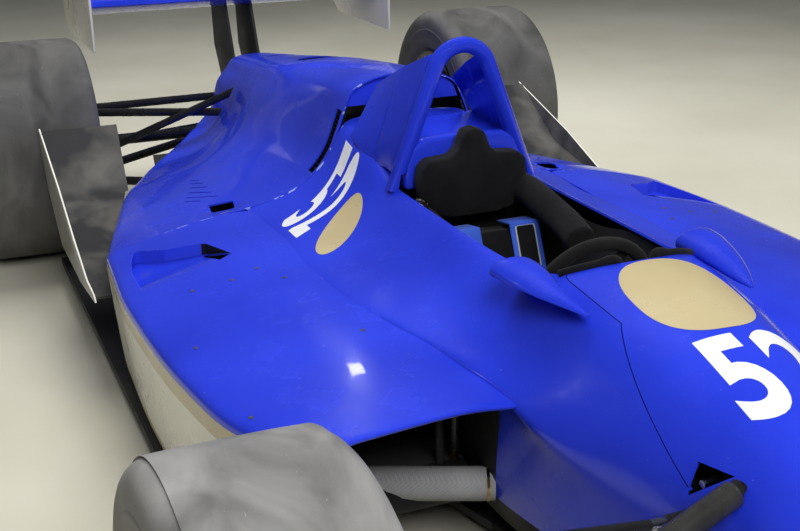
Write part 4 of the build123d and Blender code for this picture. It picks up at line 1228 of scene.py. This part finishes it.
# %% Edge trim
TRIM_LINE = [(774, 138), (790, 108), (799, 76), (806, 38), (808, 0)]
trim_points = [(x, y, height_at(tub_surface, x + 10, y) + 1) for x, y in TRIM_LINE]
trim_points += on_side(trim_points[-2::-1], -1)
scuttle_trim = tube("scuttle_trim", trim_points, 8.5)
dress(scuttle_trim, "scuttle_trim", "chassis", "padding", soft_black)
print("edge trim:", triangles(scuttle_trim), "triangles")

# %% [markdown]
# ## Painted marks
# The number, the gold patch and the gold oval are thin films of paint. A mask in the paint's
# own nodes could draw them, but a film keeps a crisp edge: each is cut from a flat outline,
# sliced into a fine mesh, and laid on the skin along straight lines.

# %% Laying films on a skin


FILM = 0.25


def lay(film, surface, origin, right, up, cast, rows=14, lift=0.35):
    """Maps a flat piece's box onto origin, right and up, in millimetres, and drops it on a skin."""
    low = Vector([min(vertex.co[axis] for vertex in film.data.vertices) for axis in range(2)])
    high = Vector([max(vertex.co[axis] for vertex in film.data.vertices) for axis in range(2)])
    edit(film, faces=everything)
    for axis in range(2):
        for row in range(1, rows):
            place = [0.0, 0.0, 0.0]
            place[axis] = low[axis] + (high[axis] - low[axis]) * row / rows
            normal = [0.0, 0.0, 0.0]
            normal[axis] = 1.0
            bpy.ops.mesh.select_all(action="SELECT")
            bpy.ops.mesh.bisect(plane_co=place, plane_no=normal)
    bpy.ops.object.mode_set(mode="OBJECT")
    origin, right, up, cast = Vector(origin), Vector(right), Vector(up), Vector(cast).normalized()
    for vertex in film.data.vertices:
        across = (vertex.co.x - low.x) / (high.x - low.x)
        along = (vertex.co.y - low.y) / (high.y - low.y)
        start = (origin + right * across + up * along) / 1000
        place, normal, _, _ = surface.ray_cast(start - cast, cast)
        if normal.dot(cast) > 0:
            normal = -normal
        vertex.co = place + normal * lift / 1000
    edit(film, faces=everything)
    bpy.ops.mesh.normals_make_consistent(inside=False)
    bpy.ops.object.mode_set(mode="OBJECT")
    outward = sum(face.normal.dot(cast) * face.area for face in film.data.polygons)
    if outward > 0:
        edit(film, faces=everything)
        bpy.ops.mesh.flip_normals()
        bpy.ops.object.mode_set(mode="OBJECT")
    modify(film, "SOLIDIFY", thickness=FILM / 1000, offset=1)
    smooth(film, 60)


def digits(text):
    """Bold plain digits as a flat mesh."""
    deselect()
    bpy.ops.object.text_add()
    piece = bpy.context.object
    piece.data.body = text
    piece.data.offset = 0.028
    piece.data.space_character = 1.06
    piece.data.resolution_u = 6
    bpy.ops.object.convert(target="MESH")
    piece = bpy.context.object
    edit(piece, verts=everything)
    bpy.ops.mesh.remove_doubles(threshold=0.0001)
    bpy.ops.object.mode_set(mode="OBJECT")
    return piece


def rounded(power, count=56):
    """A flat rounded patch between a circle (2) and a square."""
    deselect()
    bpy.ops.mesh.primitive_circle_add(vertices=count, fill_type="NGON")
    piece = bpy.context.object
    for vertex, (x, y) in zip(piece.data.vertices, ring(0, 0, 1, count)):
        vertex.co.x = math.copysign(abs(x) ** (2 / power), x)
        vertex.co.y = math.copysign(abs(y) ** (2 / power), y)
    return piece


# %% Painted marks
NUMBER, DOWN = "52", (0, 0, -1)
MARKS = [
    # name, flat shape, corner it starts from, its right, its up, finish
    ("nose_number", digits(NUMBER), (1254, -74, 600), (0, 204, 0), (-186, 0, 0), number_white),
    ("scuttle_patch", rounded(2.5), (1056, -88, 600), (0, 206, 0), (-232, 0, 0), gold_paint),
    ("flank_number", digits(NUMBER), (-92, -388, 800), (120, 0, 0), (-112, 212, 0), number_white),
    ("flank_oval", rounded(2), (166, -410, 800), (8, 94, 0), (-199, 133, 0), gold_paint),
]
for name, mark, origin, right, up, finish in MARKS:
    lay(mark, tub_surface, origin, right, up, DOWN)
    dress(mark, name, "chassis", "white_body", finish)
    print(name, "laid with", triangles(mark), "triangles")

# %% [markdown]
# ## Rigid pieces from the model
# Wings, ramps, arms and castings already have their true shape, so nothing is drawn again. A
# copy of each gets its long edges broken by a small bevel, because no real edge is perfectly
# sharp, and its own finish.

# %% Polished copies


CREASE = 38


def polish(node, width, material):
    """A copy of a node with its long edges broken, in its finish and in the node's place."""
    piece = copy_of(node, node + "_finished")
    edit(piece, faces=everything)
    bpy.ops.mesh.dissolve_limited(angle_limit=math.radians(0.6))
    bpy.ops.object.mode_set(mode="OBJECT")
    modify(piece, "BEVEL", width=width, segments=2, limit_method="ANGLE",
           angle_limit=math.radians(CREASE), use_clamp_overlap=True)
    smooth(piece, CREASE)
    dress(piece, node + "_finished", nodes[node]["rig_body"], slot_of[node], material)
    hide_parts(node)
    return piece


BOTH = [side_name for side_name, side in SIDES]
POLISHED = [
    # nodes, width of the broken edge, finish
    (["roll_hoop"], 0.001, blue_paint),
    (["hoop_fairing"], 0.003, blue_paint),
    (["front_wing_" + side for side in BOTH], 0.0015, blue_paint),
    (["rear_wing_main", "rear_wing_flap"], 0.0012, blue_paint),
    (["rear_endplate_" + side for side in BOTH], 0.0015, white_paint),
    (["wing_posts"], 0.002, dark_laminate),
    (["tyre_ramp_" + side for side in BOTH], 0.0012, grey_laminate),
    (["front_suspension_" + side for side in BOTH], 0.0008, black_metal),
    (["rear_suspension_" + side for side in BOTH], 0.0008, black_metal),
    (["front_wheel_" + side for side in BOTH], 0.001, rim_metal),
    (["rear_wheel_" + side for side in BOTH], 0.001, rim_metal),
    (["underbody"], 0.002, dark_laminate),
    (["harness"], 0.0015, webbing),
    (["steering_wheel"], 0.0008, grip_cloth),
    (["steering_rack"], 0.0006, black_metal),
    (["engine", "gearbox"], 0.003, cast_metal),
    (["radiators"], 0.001, fin_metal),
    (["front_upright_" + side for side in BOTH], 0.002, cast_metal),
    (["rear_upright_" + side for side in BOTH], 0.002, cast_metal),
]
polished = {}
for names, width, material in POLISHED:
    for node_name in names:
        polished[node_name] = polish(node_name, width, material)
polished_triangles = sum(triangles(piece) for piece in polished.values())
print("polished", len(polished), "pieces,", polished_triangles, "triangles")

# %% [markdown]
# Some of these pieces have more than one finish: the ramp's outer plate is white, the floor has
# painted shade in front of its lip, the front discs are bare metal and the drive shafts are black.
# Each could be split in two, but it is one piece on the car too, so the faces that get the
# second finish are picked by their place.

# %% Second finishes


FRONT_AXLE, DISC_RADIUS = (1.36, 0.324), 0.15
RAMP_PLATE, PLATE_OUTSIDE, SHAFT_END = 0.7952, 0.7994, 0.62
LIP_REAR = 0.66
FAIRING_FOOT_TOP, REAR_FOOT_DROP, FRONT_FOOT_DROP = 0.625, 0.016, 0.036


def off_axle(centre):
    """The distance of a point from the front axle."""
    return math.hypot(centre.x - FRONT_AXLE[0], centre.z - FRONT_AXLE[1])


for vertex in polished["hoop_fairing"].data.vertices:
    forwards = ease((vertex.co.x + 0.1) / 0.05)
    drop = REAR_FOOT_DROP + (FRONT_FOOT_DROP - REAR_FOOT_DROP) * forwards
    vertex.co.z -= drop * ease((FAIRING_FOOT_TOP - vertex.co.z) / 0.04)
# the floor in front of the lip is very dark composite, as painted shade
tint(polished["underbody"], painted_shade_laminate, lambda c: c.x > LIP_REAR)
for side_name in BOTH:
    ramp = polished["tyre_ramp_" + side_name]
    tint(ramp, white_paint, lambda c: abs(c.y) > RAMP_PLATE)
    tint(ramp, plate_paint, lambda c: abs(c.y) > PLATE_OUTSIDE)
    tint(polished["front_wheel_" + side_name], cast_metal, lambda c: off_axle(c) < DISC_RADIUS)
    tint(polished["rear_wheel_" + side_name], black_metal, lambda c: abs(c.y) < SHAFT_END)

# %% [markdown]
# The push rod is a thick tube that ends in a rounded cap in front of a pocket, dark with painted
# shade, in which its rocker turns on a bright bolt. A cylinder would need a cap of its own, so the
# rod is a bar along a line whose radius shrinks at its ends, and the small parts round it are bars too.

# %% Push rods
ROD_TOP, ROD_FOOT = Vector((1316, 150, 426)), Vector((1342, 540, 268))
ROD_RUN = (ROD_FOOT - ROD_TOP).normalized()
ROD_LINE = [tuple(ROD_TOP + ROD_RUN * step) for step in (0, 4, 9, 60, 330, 400)]
ROD_SHARES = (0.55, 0.86, 1, 1, 1, 0.78)
BOLT_LINE = [(1247, 128, 405), (1249, 160, 403)]
ROCKER_LINE = [(1240, 122, 392), (1275, 124, 410), (1310, 140, 424)]
NUT_LINE = [(1250, 220, 352.8), (1250, 232, 354.3), (1250, 250, 356.4)]
PLAIN_TOP = [(1255, 60), (1255, 150), (1375, 150), (1375, 60)]
POCKET_WALL = [(1214, 434), (1298, 434), (1230, 370)]
rack_body = nodes["steering_rack"]["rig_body"]
LINKS = [
    # name, line, radius, steps, shares of the radius, body, slot, finish
    ("push_rod", ROD_LINE, 21, 6, ROD_SHARES, "chassis", "black_metal", rod_lacquer),
    ("rocker_bolt", BOLT_LINE, 6.5, 2, None, "chassis", "casting", bright_metal),
    ("rocker", ROCKER_LINE, 10, 4, None, "chassis", "black_metal", black_metal),
    ("track_rod_nut", NUT_LINE, 12, 3, (1, 1, 0.75), rack_body, "casting", bright_metal),
]
for side_name, side in SIDES:
    cut(polished["front_suspension_" + side_name],
        block([(x, side * y) for x, y in PLAIN_TOP], 380, 475))
    for name, line, radius, steps, shares, body, slot, finish in LINKS:
        link = tube(name, on_side(line, side), radius, steps, shares)
        dress(link, f"{name}_{side_name}", body, slot, finish)
    # the pocket's back wall is very dark composite, as painted shade
    pocket_wall = block(POCKET_WALL, side * 92, side * 96, "Y")
    smooth(pocket_wall)
    dress(pocket_wall, "pocket_wall_" + side_name, "chassis", "carbon", painted_shade_laminate)
print("push rod:", round(ROD_RUN.angle(Vector((0, 0, -1))) * 180 / math.pi), "degrees off the upright")

# %% [markdown]
# In the mouth of each pod the floor rolls up into a scuffed lip, with a braided hose and a
# drain behind it. The lip could be rolled from the floor's own edge, but the mouth shows only
# its round front, so all of them are bars, listed once and mirrored.

# %% Mouths of the pods
MOUTH_PIECES = [
    # name, line, radius, finish
    ("floor_lip", [(668, 560, 190), (705, 452, 187), (745, 360, 186), (786, 264, 186)], 32, lip_laminate),
    ("lip_edge", [(780, 279, 186), (782, 274, 186)], 32.6, lip_trim),
    ("lip_hole", [(730, 400, 204), (740, 400, 213.5)], 3.4, seam_dark),
    ("duct_hose", [(702, 337, 196), (702, 337, 290), (695, 335, 386)], 8, fin_metal),
    ("drain_tube", [(700, 306, 226), (700, 306, 300), (696, 306, 384)], 9, black_metal),
    ("drain_end", [(700, 306, 192), (700, 306, 204), (700, 306, 228)], 9, lip_trim),
]
for side_name, side in SIDES:
    for name, line, radius, finish in MOUTH_PIECES:
        piece = tube(name, on_side(line, side), radius)
        dress(piece, f"{name}_{side_name}", "chassis", "carbon", finish)

# %% [markdown]
# Small hardware: flush fasteners in the pods' tops, and six studs round the pressure valve's
# seat, which lies a little below the ridge. Dots in the paint would do from afar, but low
# round heads catch the light, so each is a short block set at the skin's own height.

# %% Fasteners and the valve's seat


def joined(name, pieces):
    activate(pieces[0])
    for piece in pieces[1:]:
        piece.select_set(True)
    bpy.ops.object.join()
    smooth(pieces[0], 40)
    pieces[0].name = name
    return pieces[0]


FASTENERS = [(159, 658), (171, 576), (234, 479), (147, 514), (739, 700), (420, 716), (560, 430)]
for (side_name, side), skin in zip(SIDES, pod_skins):
    surface = surface_of(skin)
    heads = []
    for x, y in FASTENERS:
        z = height_at(surface, x, side * y)
        heads.append(block(ring(x, side * y, 5, 20), z - 3, z + 0.7))
    heads = joined("fasteners", heads)
    dress(heads, "fasteners_" + side_name, "chassis", "casting", cast_metal)
# the valve's seat is very dark composite, as painted shade seen through the hole
valve_seat = block(ring(VALVE_X, 0, VALVE_RADIUS + 8), 628, 632)
dress(valve_seat, "valve_seat", "chassis", "carbon", painted_shade_laminate)
studs = joined("valve_studs", [block(ring(x, y, 5, 12), 630, 648) for x, y in ring(VALVE_X, 0, 48, 6)]
               + [block(ring(VALVE_X, 0, 30), 630, 640)])
dress(studs, "valve_studs", "chassis", "casting", cast_metal)
print("fasteners:", len(FASTENERS), "on each side")

# %% [markdown]
# ## Slick tyres
# A slick has no pattern at all. What shows is its form: a flat tread with a slight crown, a
# rounded shoulder, a bulging wall with a moulded ring, and the bead on the rim. A torus would
# have to be reshaped ring by ring, so the outline is drawn once and spun round the axle.

# %% Turned pieces


def turned(name, outline, axle_x, axle_z, steps=96):
    """Spins a closed outline of (distance across the car, radius) round an axle, in millimetres."""
    deselect()
    bpy.ops.mesh.primitive_circle_add(vertices=len(outline))
    piece = bpy.context.object
    for vertex, (y, radius) in zip(piece.data.vertices, outline):
        vertex.co = Vector((axle_x, y, axle_z + radius)) / 1000
    edit(piece, verts=everything)
    bpy.ops.mesh.spin(steps=steps, angle=math.tau, center=(axle_x / 1000, 0, axle_z / 1000), axis=(0, 1, 0))
    bpy.ops.mesh.select_all(action="SELECT")
    bpy.ops.mesh.remove_doubles(threshold=0.00002)
    bpy.ops.mesh.normals_make_consistent(inside=False)
    bpy.ops.object.mode_set(mode="OBJECT")
    piece.location = (0, 0, 0)
    settle(piece)
    piece.name = name
    return piece


BEAD, SHOULDER = 190, 40


def tyre_outline(centre, half_tread, radius):
    """Half of the section from the tread's middle to the bead, then its mirror image."""
    half = [(0, radius), (0.45 * half_tread, radius - 0.3), (0.8 * half_tread, radius - 1.5)]
    for degrees in range(15, 90, 15):
        turn = math.radians(degrees)
        half.append((half_tread - SHOULDER + SHOULDER * math.sin(turn),
                     radius - 2.5 - SHOULDER + SHOULDER * math.cos(turn)))
    half += [(half_tread, radius - 52), (half_tread - 1, radius - 62), (half_tread + 0.5, radius - 64),
             (half_tread + 0.5, radius - 69), (half_tread - 1, radius - 71), (half_tread - 1, 240),
             (half_tread - 4, 226), (half_tread - 9, 216), (half_tread - 14, 212), (half_tread - 16, 205),
             (half_tread - 22, BEAD + 1)]
    inner = [(half_tread - 30, BEAD + 3), (half_tread - 20, 240), (half_tread - 22, radius - 50),
             (half_tread - 45, radius - 16), (0, radius - 13)]
    right = half + inner
    left = [(-y, r) for y, r in reversed(right[1:-1])]
    return [(centre + y, r) for y, r in right + left]


# %% Tyres
TYRES = [
    # end of the car, axle x, radius, middle, half width, finish
    ("front", 1360, 324, 859, 133, front_rubber),
    ("rear", -1485, 343, 790, 180, shaded_rear_rubber),
]
for end, axle_x, radius, centre, half_tread, finish in TYRES:
    for side_name, side in SIDES:
        outline = [(side * y, r) for y, r in tyre_outline(centre, half_tread, radius)]
        tyre = turned(f"{end}_slick_{side_name}", outline, axle_x, radius)
        smooth(tyre, 40)
        dress(tyre, f"{end}_slick_{side_name}", f"{end}_wheel_{side_name}", "tyre", finish)
        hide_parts(f"{end}_tyre_{side_name}")
print("tyre:", triangles(tyre), "triangles")

# %% [markdown]
# ## Padding
# The headrest, the side pads and the seat are foam under a black knitted cover. A bevelled
# block would look hard, and cloth under a little air pressure gives the right fullness: a copy
# of the block is remeshed to small squares, rounded, inflated for twenty frames and held close
# to where it started.

# %% Padding


def stuffed(node, name, voxel, rounding, pressure, cap, material, start=None, sink=0.0):
    """A pad in the place of a node's block, or of a start piece, which may start sunk a little."""
    piece = start or copy_of(node, name)
    modify(piece, "REMESH", mode="VOXEL", voxel_size=voxel)
    modify(piece, "SMOOTH", factor=0.5, iterations=rounding)
    if sink:
        modify(piece, "DISPLACE", strength=-sink, mid_level=0.0)
    rests = [vertex.co.copy() for vertex in piece.data.vertices]
    activate(piece)
    bpy.ops.object.modifier_add(type="CLOTH")
    cover = piece.modifiers[-1]
    cover.settings.use_pressure = True
    cover.settings.uniform_pressure_force = pressure
    cover.settings.effector_weights.gravity = 0
    cover.settings.tension_stiffness = 12
    for frame_number in range(1, 21):
        bpy.context.scene.frame_set(frame_number)
    bpy.ops.object.modifier_apply(modifier=cover.name)
    bpy.context.scene.frame_set(1)
    for vertex, rest in zip(piece.data.vertices, rests):
        move = vertex.co - rest
        if move.length > cap:
            vertex.co = rest + move * (cap / move.length)
    modify(piece, "SUBSURF", levels=1, render_levels=1)
    smooth(piece, 180)
    dress(piece, name, "chassis", slot_of[node], material)
    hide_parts(node)
    return piece


HEADREST_HALF = [(0, 690), (20, 685), (33, 668), (40, 646), (56, 630), (84, 625), (114, 620), (132, 602),
                 (137, 566), (128, 520), (98, 488), (56, 478), (0, 476)]
headrest_outline = HEADREST_HALF + [(-y, z) for y, z in HEADREST_HALF[-2:0:-1]]
headrest_block = block(headrest_outline, 104, 156, "X")
headrest_pad = stuffed("headrest", "headrest_pad", 0.006, 8, 3, 0.006, pad_cloth, headrest_block)
BOLSTER_LINE = [(104, 124, 533), (180, 126, 530), (280, 124, 517), (380, 120, 500), (430, 115, 488)]
bolsters = tube("bolsters", BOLSTER_LINE, 34)
near_bolster = tube("near_bolster", [(x, -y, z - 40) for x, y, z in BOLSTER_LINE], 28)
activate(bolsters)
near_bolster.select_set(True)
bpy.ops.object.join()
side_pads = stuffed("cockpit_pads", "side_pads", 0.006, 5, 3, 0.006, pad_cloth, bolsters)
seat_pad = stuffed("seat", "seat_pad", 0.008, 8, 3, 0.004, seat_cloth, sink=0.006)
print("pads:", [triangles(pad) for pad in (headrest_pad, side_pads, seat_pad)], "triangles")
LEDGE_HALF = [(0, 661), (98, 657), (130, 640), (144, 606), (147, 541)]
headrest_ledge = block(both_halves(LEDGE_HALF), 66, 98, "X")
modify(headrest_ledge, "BEVEL", width=0.012, segments=4, limit_method="ANGLE")
smooth(headrest_ledge, 50)
dress(headrest_ledge, "headrest_ledge", "chassis", "blue_body", blue_paint)
HOOP_FOOT_LINE = [(150, -146, 520), (176, -149, 533), (204, -149, 534)]
hoop_foot = tube("hoop_foot", HOOP_FOOT_LINE, 13)
dress(hoop_foot, "hoop_foot", "chassis", "casting", chipped_fitting)

# %% [markdown]
# A blank label is sewn on the left shoulder strap, with a pale stitched border. Two thin films
# are laid on the strap, one over the other, because they bend with it as sewn cloth does.

# %% Label on the strap
STRAP_MIDDLE, STRAP_TOP = 72, 486
STRAP_FALL, STRAP_FACE = Vector((0.42, 0, -0.91)), (-0.91, 0, -0.42)
strap_surface = surface_of(polished["harness"])
LABELS = [
    # name, half width, upper end's x, length, lift, finish
    ("border", 25, 268, 122, 0.3, thread_pale),
    ("label", 21.5, 270.5, 117, 0.65, label_cloth),
]
for name, half, upper_x, length, lift, finish in LABELS:
    label = rounded(16)
    fall = STRAP_FALL * length
    lower_corner = Vector((upper_x, STRAP_MIDDLE - half, STRAP_TOP)) + fall
    lay(label, strap_surface, lower_corner, (0, 2 * half, 0), -fall, STRAP_FACE, 5, lift)
    dress(label, "strap_" + name, "chassis", "webbing", finish)
